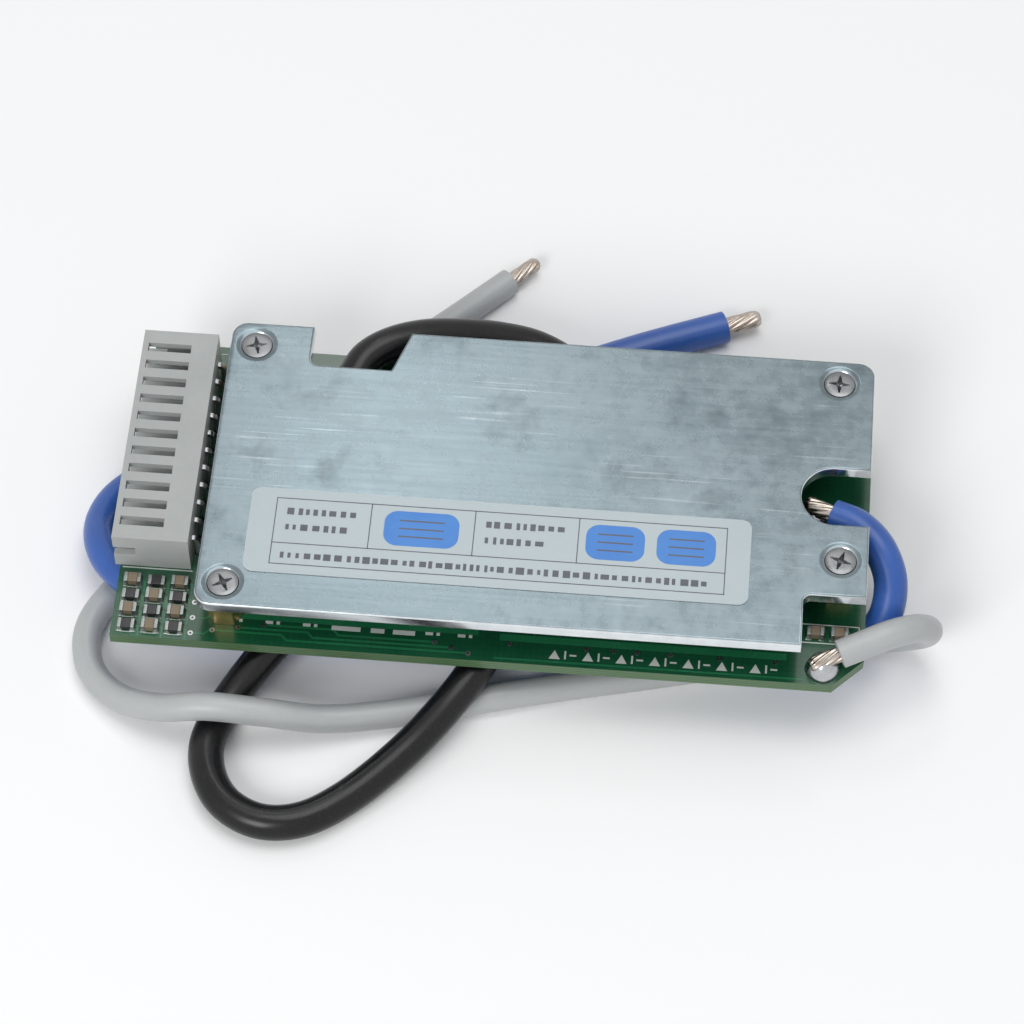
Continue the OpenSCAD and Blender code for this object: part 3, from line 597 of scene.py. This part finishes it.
def turned(name, rings, replaces, nv, seed):
    """Lathed solder: for each (x, y, profile) the profile's (radius, height) points go round a vertical axis;
    the radius waves by a sum of three cosines, each up to a fiftieth of it."""
    rng = np.random.default_rng(seed)
    a = np.linspace(0, 2 * np.pi, nv, endpoint=False)
    grids = []
    for x, y, profile in rings:
        wave = 0.02 * sum(rng.uniform(-1, 1) * np.cos(k * a + rng.uniform(0, 6.28)) for k in (2, 3, 4))
        r = profile[:, 0][:, None] * (1 + wave[None, :])
        z = np.repeat(profile[:, 1][:, None], nv, 1)
        grids.append(np.stack([x + r * np.cos(a), y + r * np.sin(a), z], -1))
    piece(name, *joined(grids), "solder", replaces=replaces)


board_lo, board_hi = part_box("circuit_board")
TOP, UNDER = board_hi.z, board_lo.z
MOUND_HIGH = 2.3 * MM


def mound(name, seed):
    """A solder mound: its height is the power 0.8 of one less the power 2.2 of the radius."""
    lo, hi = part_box(name + "_mound")
    x, y, foot = (lo.x + hi.x) / 2, (lo.y + hi.y) / 2, (hi.x - lo.x) / 2 * 0.97
    u = np.linspace(0, 1, 18)[::-1]
    slope = np.column_stack([foot * u, TOP + MOUND_HIGH * (1 - u ** 2.2) ** 0.8])
    profile = np.vstack([[0.0, TOP], [foot, TOP], slope])
    turned(name + "_solder_mound", [(x, y, profile)], (name + "_mound",), 56, seed)


mound("black", 3)
mound("blue", 4)
mound("white", 5)


def clusters(node):
    """Boxes of a node's separate solids, as rows of (low corner, high corner). Each point has a number, and
    the points of a triangle take the lowest of theirs, again and again, until every solid has one number."""
    mesh = NODES[node].data
    co = np.zeros(len(mesh.vertices) * 3)
    mesh.vertices.foreach_get("co", co)
    co = co.reshape(-1, 3)
    key = np.unique(np.round(co * 1e6).astype(np.int64), axis=0, return_inverse=True)[1].ravel()
    tri = np.zeros(len(mesh.loops), np.int32)
    mesh.loops.foreach_get("vertex_index", tri)
    tri = key[tri].reshape(-1, 3)
    label = np.arange(key.max() + 1)
    while True:
        low = label[tri].min(1)
        new = label.copy()
        np.minimum.at(new, tri.ravel(), np.repeat(low, 3))
        new = new[new]
        if (new == label).all():
            break
        label = new
    group = label[key]
    return [(co[group == g].min(0), co[group == g].max(0)) for g in np.unique(group)]


PIN_WIDE = 0.64 * MM
pins = sorted(clusters("header_pins"), key=lambda b: -b[0][1])
PIN_X = pins[0][1][0] - PIN_WIDE / 2
PIN_YS = [(lo[1] + hi[1]) / 2 for lo, hi in pins]

# the pins' joints under the board: cones that narrow as the power 1.8 of the height left, and a flat tip
left = 1 - np.linspace(0, 1, 9)
cone = np.column_stack([0.34 + 0.62 * left ** 1.8, -0.95 * (1 - left)])
profile = np.vstack([[0, 0], cone, [0, -0.97]]) * MM + [0, UNDER]
turned("pin_joints", [(PIN_X, y, profile) for y in PIN_YS], ("header_solder",), 20, 8)


def skirts(name, spots, mat="solder"):
    """Solder fillets: for each (x, y, half length, half width, height, reach) a skirt of six rings runs round
    the part, falling from its side to the board as the square of one minus the share of the reach. A seventh
    ring closes it underneath."""
    grids = []
    u = np.append(np.linspace(0, 1, 6), [0, 0])
    fall = (1 - u) ** 2
    fall[6] = 0
    corner = np.repeat([[1, 1], [-1, 1], [-1, -1], [1, -1]], 4, axis=0).astype(float)
    a = np.radians(np.concatenate([np.linspace(k, k + 90, 4) for k in (0, 90, 180, 270)]))
    for x, y, hl, hw, h, reach in spots:
        out = reach * u[:, None, None] * np.stack([np.cos(a), np.sin(a)], 1)[None]
        flat = corner[None] * [hl - 0.02 * MM, hw - 0.02 * MM] + out
        z = (TOP + h * fall - 0.01 * MM * (fall == 0))[:, None, None]
        grids.append(np.concatenate([flat + [x, y], np.broadcast_to(z, flat.shape[:2] + (1,))], -1))
    piece(name, *joined(grids), mat, sharp=60)


def spots_of(node, height, reach):
    """A fillet for each solid of a node: its box's middle and half sizes, a share of its height, a reach."""
    return [((lo[0] + hi[0]) / 2, (lo[1] + hi[1]) / 2, (hi[0] - lo[0]) / 2, (hi[1] - lo[1]) / 2,
             (hi[2] - TOP) * height, reach) for lo, hi in clusters(node)]


skirts("chip_fillets", spots_of("chip_ends", 0.7, 0.22 * MM), "chip_tin")
skirts("shunt_fillets", spots_of("shunt_ends", 0.6, 0.6 * MM))
skirts("leg_fillets", spots_of("transistor_legs", 0.25, 0.22 * MM))

# round the outer end of each power transistor's tab, and the foot of each of its legs
tabs = []
for node, side in (("rear_mosfet_frames", 1), ("front_mosfet_frames", -1)):
    for lo, hi in clusters(node):
        mid, half = (lo[0] + hi[0]) / 2, (hi[0] - lo[0]) / 2
        if 2 * half > 4 * MM:
            end = hi[1] if side > 0 else lo[1]
            tabs.append((mid, end - side * 0.5 * MM, half, 0.5 * MM, 0.9 * MM, 0.7 * MM))
        else:
            foot = lo[1] if side > 0 else hi[1]
            tabs.append((mid, foot + side * 0.9 * MM, half, 0.9 * MM, 0.5 * MM, 0.5 * MM))
skirts("tab_fillets", tabs)


def solder_ribbon(name, node):
    """Solder flowed over bare tracks: each strip's underside is the power 0.8 of a half turn's sine, and its
    depth and width wave along it. Both ends are rounded as a quarter circle."""
    rng = np.random.default_rng(21)

    def waves(x, count, low, high):
        """A quarter of the sum of sines of random size, pitch and start."""
        return sum(rng.uniform(0.3, 1) * np.sin(x * rng.uniform(low, high) + rng.uniform(0, 6))
                   for _ in range(count)) / 4

    grids, nu, nv = [], 150, 22
    a = np.linspace(0, np.pi, nv)
    for lo, hi in clusters(node):
        x = np.linspace(lo[0], hi[0], nu)
        high, wide = waves(x, 6, 700, 3600), waves(x, 5, 500, 2400)
        near = np.clip(1 - np.minimum(x - lo[0], hi[0] - x) / (1.4 * MM), 0, 1)
        cap = np.sqrt(np.clip(1 - near ** 2, 0, 1))
        half = (hi[1] - lo[1]) / 2 * (0.92 + 0.07 * wide) * cap
        deep = (hi[2] - lo[2]) * (0.80 + 0.2 * high) * cap
        y = (lo[1] + hi[1]) / 2 + half[:, None] * np.cos(a)
        z = hi[2] + 0.01 * MM - (deep + 0.01 * MM * cap)[:, None] * np.sin(a) ** 0.8
        grids.append(np.stack([np.repeat(x[:, None], nv, 1), y, z], -1))
    piece(name, *joined(grids), "solder", replaces=(node,), sharp=60)


solder_ribbon("flowed_tracks", "track_solder")

# ---- header

def box_cells(name, lo, hi, cuts, mat, replaces):
    """One moulding: a box less other boxes. The sides of the cuts divide it into cells, and a face stands
    wherever a filled cell meets an empty one. Each cut is its low corner and its high corner."""
    cuts = np.array(cuts, float)
    sides = [np.unique(np.round([lo[i], hi[i], *cuts[:, :, i].ravel()], 8)) for i in range(3)]
    sides = [v[(v >= lo[i] - 1e-7) & (v <= hi[i] + 1e-7)] for i, v in enumerate(sides)]
    middle = np.stack(np.meshgrid(*[(v[1:] + v[:-1]) / 2 for v in sides], indexing="ij"), -1)
    full = np.ones(middle.shape[:3], bool)
    for low, high in cuts:
        full &= ~((middle > low) & (middle < high)).all(-1)
    wrapped = np.pad(full, 1)
    verts = np.stack(np.meshgrid(*sides, indexing="ij"), -1).reshape(-1, 3)
    step = np.array([len(sides[1]) * len(sides[2]), len(sides[2]), 1])
    faces = []
    for axis in range(3):
        u, v = step[(axis + 1) % 3], step[(axis + 2) % 3]
        for sign in (1, -1):
            bare = full & ~np.roll(wrapped, -sign, axis)[1:-1, 1:-1, 1:-1]
            corner = np.argwhere(bare) @ step + (step[axis] if sign > 0 else 0)
            square = np.stack([corner, corner + u, corner + u + v, corner + v], -1)
            faces += (square if sign > 0 else square[:, ::-1]).tolist()
    return piece(name, verts, faces, mat, replaces=replaces, seams=False)


head_lo, head_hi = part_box("header_housing")
roof_lo, roof_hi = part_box("header_roof")
WALL = roof_hi.z - roof_lo.z
MID_Z = (head_lo.z + head_hi.z) / 2
WINDOW_X = (head_lo.x + roof_hi.x) / 2
WINDOW_LONG, WINDOW_WIDE = 5.2 * MM, 1.2 * MM
KEYWAY_LONG, KEYWAY_HIGH = 2.6 * MM, 1.6 * MM
PAST = 1 * MM  # how far a cut runs out of the moulding

# the socket, a keyway through both end walls, and a window and a pin's hole on each way
cuts = [((head_lo.x - PAST, head_lo.y + WALL, head_lo.z + WALL), (roof_hi.x, head_hi.y - WALL, roof_lo.z)),
        ((head_lo.x - PAST, head_lo.y - PAST, MID_Z - KEYWAY_HIGH / 2),
         (head_lo.x + KEYWAY_LONG, head_hi.y + PAST, MID_Z + KEYWAY_HIGH / 2))]
for y in PIN_YS:
    cuts += [((WINDOW_X - WINDOW_LONG / 2, y - WINDOW_WIDE / 2, MID_Z),
              (WINDOW_X + WINDOW_LONG / 2, y + WINDOW_WIDE / 2, head_hi.z + PAST)),
             ((roof_hi.x - 0.1 * MM, y - PIN_WIDE / 2, MID_Z - PIN_WIDE / 2),
              (head_hi.x + 0.1 * MM, y + PIN_WIDE / 2, MID_Z + PIN_WIDE / 2))]
moulding = box_cells("header_moulding", head_lo, head_hi, cuts, "nylon", ("header_housing", "header_roof"))
eased(moulding, 0.12 * MM)

# ---- plate, label, screws

def top_loops(node, z):
    """Closed outlines of a node's flat face at height z, longest first, each with its face on the left."""
    bm = bmesh.new()
    bm.from_mesh(NODES[node].data)
    bmesh.ops.remove_doubles(bm, verts=bm.verts, dist=2e-5)
    flat = [f for f in bm.faces if all(abs(v.co.z - z) < 1e-6 for v in f.verts)]
    inside, after = set(flat), {}
    for f in flat:
        for loop in f.loops:
            if not any(g in inside for g in loop.edge.link_faces if g is not f):
                after[loop.vert] = loop.link_loop_next.vert
    outlines = []
    while after:
        v, line = next(iter(after)), []
        while v in after:
            line.append((v.co.x, v.co.y))
            v = after.pop(v)
        outlines.append(np.array(line))
    bm.free()
    return sorted(outlines, key=len, reverse=True)


def moved_in(line, by):
    """An outline moved to its left by a distance: each corner goes along its two sides' mean normal."""
    ahead = np.roll(line, -1, 0) - line
    ahead /= np.linalg.norm(ahead, axis=1)[:, None]
    n = np.stack([-ahead[:, 1], ahead[:, 0]], 1)
    m = n + np.roll(n, 1, 0)
    m /= np.maximum((m * n).sum(1), 0.3)[:, None]
    return line + m * by


def stamped_plate():
    """The plate: its outline rises as a wall and rolls over in a quarter round to the flat top. It sinks at
    each screw by a smooth step (three squares of the share of its width less two cubes), then as a cone."""
    lo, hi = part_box("heat_plate")
    outer, *holes = top_loops("heat_plate", hi.z)
    roll, rim, dip = 0.28 * MM, 2.55 * MM, 0.18 * MM
    cone = np.array([(1.9, 0.26), (1.2, 0.95), (1.1, 1.05)]) * MM  # radius and depth of its rings
    q = np.radians(np.linspace(0, 90, 5))
    rows = [(roll * (1 - math.cos(a)), lo.z + roll * (1 - math.sin(a))) for a in q[::-1]]
    rows += [(roll * (1 - math.cos(a)), hi.z - roll * (1 - math.sin(a))) for a in q]
    grids = [np.array([np.column_stack([moved_in(outer, by), np.full(len(outer), z)]) for by, z in rows])]
    count = len(rows) * len(outer)
    top_rings, low_rings = [np.arange(count - len(outer), count)], [np.arange(len(outer))]
    a = np.linspace(0, 2 * np.pi, 56, endpoint=False)
    u = np.linspace(0, 1, 13)
    radius = np.concatenate([rim + (1.95 * MM - rim) * u, cone[:, 0], cone[-1:, 0]])
    depth = np.concatenate([dip * (3 * u ** 2 - 2 * u ** 3), cone[:, 1], [hi.z - lo.z]])
    for hole in holes:
        mid = (hole.min(0) + hole.max(0)) / 2
        r, z = radius[:, None], np.repeat(hi.z - depth[:, None], len(a), 1)
        grids.append(np.stack([mid[0] + r * np.cos(a), mid[1] - r * np.sin(a), z], -1))
        top_rings.append(np.arange(count, count + len(a)))
        count += len(radius) * len(a)
        low_rings.append(np.arange(count - len(a), count))
    verts, faces = joined(grids)
    for rings in (top_rings, low_rings):
        at = np.concatenate(rings)
        flat = [[Vector((*verts[k, :2], 0)) for k in ring] for ring in rings]
        faces += at[np.array(tessellate_polygon(flat))].tolist()
    even_normals(piece("plate_sheet", verts, faces, "plate", replaces=("heat_plate",)))


stamped_plate()


def flat_shapes(name, shapes, z0, z1, mat, replaces=()):
    """Thin flat shapes: each outline is a prism from z0 to z1. One that runs clockwise, where the sum of each
    x by the next y less each y by the next x is negative, is turned round first."""
    verts, faces, start = [], [], 0
    for outline in shapes:
        o = np.asarray(outline, float)
        after, n = np.roll(o, -1, 0), len(o)
        if (o[:, 0] * after[:, 1] - o[:, 1] * after[:, 0]).sum() < 0:
            o = o[::-1]
        verts += [np.column_stack([o, np.full(n, z)]) for z in (z0, z1)]
        low = start + np.arange(n)
        faces += [(low + n).tolist(), low[::-1].tolist()] + quads(2, n, start=start).tolist()
        start += 2 * n
    piece(name, np.vstack(verts), faces, mat, smooth=False, replaces=replaces, seams=False)


def round_box(x0, y0, x1, y1, r, n=6):
    """Outline of a rectangle with round corners: a quarter circle about each corner's centre."""
    centre = np.repeat([(x1 - r, y1 - r), (x0 + r, y1 - r), (x0 + r, y0 + r), (x1 - r, y0 + r)], n, axis=0)
    a = np.radians(np.concatenate([start + np.linspace(0, 90, n) for start in (0, 90, 180, 270)]))
    return centre + r * np.column_stack([np.cos(a), np.sin(a)])


def bar(x0, y0, x1, y1):
    """Outline of a rectangle from its two ends."""
    return [(x0, y0), (x1, y0), (x1, y1), (x0, y1)]


label_lo, label_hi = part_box("plate_label")
FILM_TOP = label_hi.z - 0.00002  # leaves room for the ink on it
film = round_box(label_lo.x, label_lo.y, label_hi.x, label_hi.y, 1.2 * MM, 10)
flat_shapes("label_sheet", [film], label_lo.z, FILM_TOP, "label", ("plate_label",))


def on_label(x, y):
    """A place on the label from its lower left corner, in millimetres."""
    return label_lo.x + x * MM, label_lo.y + y * MM


def label_bar(x0, y0, x1, y1):
    """Outline of a rectangle on the label, in millimetres from its lower left corner."""
    return bar(*on_label(x0, y0), *on_label(x1, y1))


# a frame with a rule across it and three rules up it, rows of plain bars, and blue fields of three lines each
LABEL_RULES = (
    (3, 1.2, 56, 1.32), (3, 10.3, 56, 10.42), (3, 1.26, 3.12, 10.36), (55.9, 1.2, 56.02, 10.42),
    (3, 4.1, 56, 4.22), (14.2, 4.1, 14.32, 10.4), (26.4, 4.1, 26.52, 10.4), (38.6, 4.1, 38.72, 10.4))
LABEL_ROWS = ((2.5, 4.2, 54), (8.6, 4.4, 12.6), (6.4, 4.4, 12.2), (8.6, 27.8, 37), (6.4, 27.8, 35))
LABEL_FIELDS = ((20.3, 8.8), (43.0, 6.9), (51.3, 6.9))
FIELD_Y, FIELD_HIGH = 7.25, 4.8
lines = [label_bar(*corners) for corners in LABEL_RULES]
bars, fields = [], []
rng = np.random.default_rng(11)
for row, x, x1 in LABEL_ROWS:
    while x < x1 - 0.4:
        w = min(rng.uniform(0.35, 1.0), x1 - x)
        h = rng.uniform(0.32, 0.5)
        bars.append(label_bar(x, row - h, x + w, row + h))
        x += w + rng.uniform(0.25, 0.6)
for cx, w in LABEL_FIELDS:
    low, high = on_label(cx - w / 2, FIELD_Y - FIELD_HIGH / 2), on_label(cx + w / 2, FIELD_Y + FIELD_HIGH / 2)
    fields.append(round_box(*low, *high, FIELD_HIGH / 3 * MM, 9))
    for y in (FIELD_Y - 1.1, FIELD_Y, FIELD_Y + 1.1):
        lines.append(label_bar(cx - w * 0.3, y - 0.1, cx + w * 0.3, y + 0.1))
flat_shapes("label_fields", fields, FILM_TOP, FILM_TOP + 0.000008, "ink_blue")
flat_shapes("label_rules", lines + bars, FILM_TOP, FILM_TOP + 0.000012, "ink_grey")


def screw_heads(name, node):
    """Countersunk screws: the head's height drops in a cross, as the power 0.6 of one less the distance to
    the nearer arm by the arm's half width, and to its rim as the sixth power of the radius. A cone and a
    straight shank follow below, and each screw is turned 1.3 radians more than the last."""
    lo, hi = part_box(node)
    centres = sorted({tuple(round(float(a[i] + b[i]) / 2, 6) for i in (0, 1)) for a, b in clusters(node)})
    head, shank, foot = 1.8 * MM, 1.0 * MM, lo.z - hi.z
    nu, nv = 22, 56
    a = np.linspace(0, 2 * np.pi, nv, endpoint=False)
    rr, aa = np.meshgrid(np.linspace(0, 1, nu) * head, a, indexing="ij")
    x, y = rr * np.cos(aa), rr * np.sin(aa)
    arm = np.minimum(np.abs(x) + 0.25 * np.abs(y), np.abs(y) + 0.25 * np.abs(x))
    drop = 0.55 * MM * np.clip(1 - arm / (0.34 * MM), 0, 1) ** 0.6 * (rr < 1.25 * MM)
    disc = np.stack([x, y, -drop - 0.12 * MM * (rr / head) ** 6], -1).reshape(-1, 3)
    below = ((head, -0.2 * MM), (shank, -0.9 * MM), (shank, foot), (0.0, foot))
    rings = [np.column_stack([r * np.cos(a), r * np.sin(a), np.full(nv, z)]) for r, z in below]
    body = np.vstack([disc] + rings)
    grids = []
    for k, (cx, cy) in enumerate(centres):
        c, s = math.cos(0.5 + 1.3 * k), math.sin(0.5 + 1.3 * k)
        about = np.array([[c, s, 0], [-s, c, 0], [0, 0, 1]])
        grids.append((body @ about + [cx, cy, hi.z]).reshape(-1, nv, 3))
    piece(name, *joined(grids), "steel", replaces=(node,), sharp=40)


screw_heads("screw_set", "plate_screws")

# ---- tracks, vias and white marks of the board

def ribbon(points, width):
    """Outline of a track: both sides of a bent line, half the width away, mitred at corners (millimetres)."""
    p = np.asarray(points, float)
    t = np.diff(p, axis=0)
    t /= np.linalg.norm(t, axis=1)[:, None]
    n = np.stack([-t[:, 1], t[:, 0]], 1)
    m = np.vstack([n[:1], n[:-1] + n[1:], n[-1:]])
    m /= np.maximum((m * np.vstack([n, n[-1:]])).sum(1), 0.4)[:, None]
    return np.vstack([p - m * width / 2, (p + m * width / 2)[::-1]]) * MM


def ringed(x, y, r, n=18):
    """Outline of a round spot (millimetres)."""
    a = np.linspace(0, 2 * np.pi, n, endpoint=False)
    return np.column_stack([x + r * np.cos(a), y + r * np.sin(a)]) * MM


def block(x0, y0, x1, y1):
    """Outline of a rectangle (millimetres)."""
    return bar(x0 * MM, y0 * MM, x1 * MM, y1 * MM)


def frame_lines(x0, y0, x1, y1, w=0.15):
    """The four lines of a rectangle (millimetres)."""
    corners = [(x0, y0), (x1, y0), (x1, y1), (x0, y1)]
    return [ribbon(line, w) for line in zip(corners, corners[1:] + corners[:1])]


LEFT, RIGHT, FRONT, REAR = board_lo.x / MM, board_hi.x / MM, board_lo.y / MM, board_hi.y / MM
PLATE_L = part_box("heat_plate")[0].x / MM
rng = np.random.default_rng(5)
top_tracks, top_silk, top_vias, low_tracks, low_silk, low_vias = [], [], [], [], [], []

# along the front edge: three thin tracks that step down to the front, three straight ones, and vias
for k in range(3):
    y, x0, x1 = FRONT + 0.9 + 0.6 * k, LEFT + 12 + 3 * k, -2.0 - 2 * k
    top_tracks.append(ribbon([(x0, y + 0.7), (x0 + 8, y + 0.7), (x0 + 8.7, y), (x1, y)], 0.28))
    top_vias += [(x0 - 0.1, y + 0.7), (x1, y)]
for x0, x1, up, wide in ((LEFT + 14, -1, 3.9, 0.9), (1.5, RIGHT - 9, 3.4, 0.9), (1.0, RIGHT - 7, 0.55, 0.22)):
    top_tracks.append(ribbon([(x0, FRONT + up), (x1, FRONT + up)], wide))
for x in np.arange(2.5, RIGHT - 9, 3.1):
    top_vias.append((x + rng.uniform(-0.4, 0.4), FRONT + rng.choice([2.55, 4.3])))

# white marks there: seven triangles with two strokes each, single bars, pairs of bars, a frame at the right
for k in range(7):
    x = 7.4 + 3.9 * k
    top_silk += [np.array([(x, FRONT + 0.95), (x + 1.3, FRONT + 0.95), (x + 0.65, FRONT + 2.15)]) * MM,
                 ribbon([(x + 1.9, FRONT + 1.0), (x + 1.9, FRONT + 2.1)], 0.22),
                 ribbon([(x + 2.4, FRONT + 1.55), (x + 3.2, FRONT + 1.55)], 0.22)]
for x, long in ((-18.2, 3.4), (-13.6, 1.6), (-11.0, 2.6)):
    top_silk.append(block(x, FRONT + 2.75, x + long, FRONT + 3.35))
for x in (-30.4, -26.0, -21.6, -7.2, -3.4):
    for x0, x1 in ((x, x + 0.9), (x + 1.3, x + 1.7)):
        top_silk.append(block(x0, FRONT + 2.98, x1, FRONT + 3.38))
top_silk += frame_lines(RIGHT - 8.2, FRONT + 5.6, RIGHT - 0.7, FRONT + 8.1)
top_silk.append(ringed(RIGHT - 1.3, FRONT + 5.0, 0.3))

# beside the header: a white line before and behind each small part, tracks down to the front edge, and marks
for lo, hi in clusters("chip_resistors") + clusters("chip_capacitors"):
    x0, y0, x1, y1 = lo[0] / MM - 0.62, lo[1] / MM - 0.22, hi[0] / MM + 0.62, hi[1] / MM + 0.22
    if x1 < PLATE_L:
        mid = (y0 + y1) / 2
        top_silk += [ribbon([(x0 + 0.5, y), (x1 - 0.5, y)], 0.1) for y in (y0, y1)]
        top_tracks.append(ribbon([(x1 - 0.2, mid), (x1 + 0.25, mid), (x1 + 0.25, y0 - 0.6)], 0.2))
for up in (1.0, 3.1, 5.2, 7.3, 9.0):
    x, y = LEFT + 9.4, FRONT + up
    top_vias.append((x, y))
    top_tracks.append(ribbon([(x, y), (x + 1.6, y), (x + 2.4, y + 0.8)], 0.22))
header_y0 = head_lo.y / MM - 0.25
top_silk += [ribbon([(LEFT + 0.6, REAR - 1.1), (LEFT + 9, REAR - 1.1)], 0.15),
             np.array([(LEFT + 9.6, REAR - 0.7), (LEFT + 10.6, REAR - 0.7), (LEFT + 10.1, REAR - 1.6)]) * MM,
             ribbon([(LEFT + 0.3, header_y0), (LEFT + 8.6, header_y0)], 0.15)]

# underside: a fan of tracks from the header's joints, each with a via at its end
for k, y in enumerate(PIN_YS):
    x, y = PIN_X / MM, y / MM
    turn, aim = x + 2.2 + 0.55 * k, y * 0.55 - 1.0
    bend = turn + abs(aim - y)
    end = bend + 7 + (k % 3) * 1.6
    low_tracks.append(ribbon([(x, y), (turn, y), (bend, aim), (end, aim)], 0.3))
    low_vias.append((end, aim))

# a white frame and two rows of vias at each flowed strip, and a ring of vias at each lead's joint
for lo, hi in clusters("track_solder"):
    x0, y0, x1, y1 = lo[0] / MM - 0.6, lo[1] / MM - 0.6, hi[0] / MM + 0.6, hi[1] / MM + 0.6
    low_silk += frame_lines(x0, y0, x1, y1, 0.18)
    side = 1 if y0 > 0 else -1
    for x in np.arange(x0 + 1, x1, 1.9):
        low_vias += [(x, (y1 if side > 0 else y0) + side * (2.2 + 1.4 * j)) for j in range(2)]
for x, y in ((-20.1, 14.25), (39.2, -18.0), (37.5, 2.0)):
    low_vias += [(x + 1.5 * math.cos(k * 0.785), y * 0.93 + 1.5 * math.sin(k * 0.785)) for k in range(8)]

# five thin tracks along the front, two white frames and four short bars
for k in range(5):
    y = -17.6 + 0.7 * k
    low_tracks.append(ribbon([(-27 + k, y), (8 + k, y), (11 + k, y + 0.9), (28, y + 0.9)], 0.26))
low_silk += frame_lines(-43, -19.6, -37.2, -14.2) + frame_lines(-26.5, 16.2, -14.5, 19.6)
low_silk += [block(x, -19.2, x + 1.2, -18.6) for x in (12, 14, 15.9, 19.2)]


def board_print(side, z, tracks, silk, vias):
    """Thin raised tracks, white marks, and round vias with a dark middle, on one face of the board. The dark
    middle is painted shade for each via's hole.
    """
    up = 1 if z > 0.5 * (TOP + UNDER) else -1
    layers = (("tracks", tracks, 0.018, "track"), ("marks", silk, 0.024, "silk"),
              ("vias", [ringed(x, y, 0.32) for x, y in vias], 0.03, "via"),
              ("via_holes", [ringed(x, y, 0.15, 12) for x, y in vias], 0.034, "via_hole"))
    for label, shapes, height, mat in layers:
        z0, z1 = z - up * 0.004 * MM, z + up * height * MM
        flat_shapes(side + "_" + label, shapes, min(z0, z1), max(z0, z1), mat)


board_print("top", TOP, top_tracks, top_silk, top_vias)
board_print("under", UNDER, low_tracks, low_silk, low_vias)

# ---- finishes of the CAD pieces

# CAD node, its piece's name, material, and the width of its rounded edges in millimetres
SOFT = (
    ("rear_mosfets", "rear_transistor_bodies", "epoxy", 0.14),
    ("front_mosfets", "front_transistor_bodies", "epoxy", 0.14),
    ("rear_mosfet_frames", "rear_transistor_frames", "tin", 0.07),
    ("front_mosfet_frames", "front_transistor_frames", "tin", 0.07),
    ("plate_spacers", "brass_spacers", "brass", 0.12),
    ("screw_nuts", "hex_nuts", "steel", 0.12),
    ("header_pins", "square_pins", "tin", 0.06),
    ("shunt_resistors", "shunt_bodies", "resistor", 0.10),
    ("shunt_ends", "shunt_caps", "solder", 0.10),
    ("controller_chip", "controller_body", "epoxy", 0.03),
    ("balance_resistors", "balance_bodies", "resistor", 0.05),
    ("balance_transistors", "transistor_bodies", "epoxy", 0.08),
    ("chip_resistors", "resistor_bodies", "resistor", 0.05),
    ("chip_capacitors", "capacitor_bodies", "capacitor", 0.08),
    ("chip_ends", "chip_caps", "chip_tin", 0.06),
    ("circuit_board", "board_sheet", "board", 0.05),
)
for node, name, mat, width in SOFT:
    softened(node, name, mat, width * MM)
for node, mat in (("thermal_pad_rear", "thermal"), ("thermal_pad_front", "thermal"),
                  ("controller_legs", "tin"), ("transistor_legs", "tin")):
    slots = NODES[node].data.materials
    slots.clear()
    slots.append(MAT[mat])
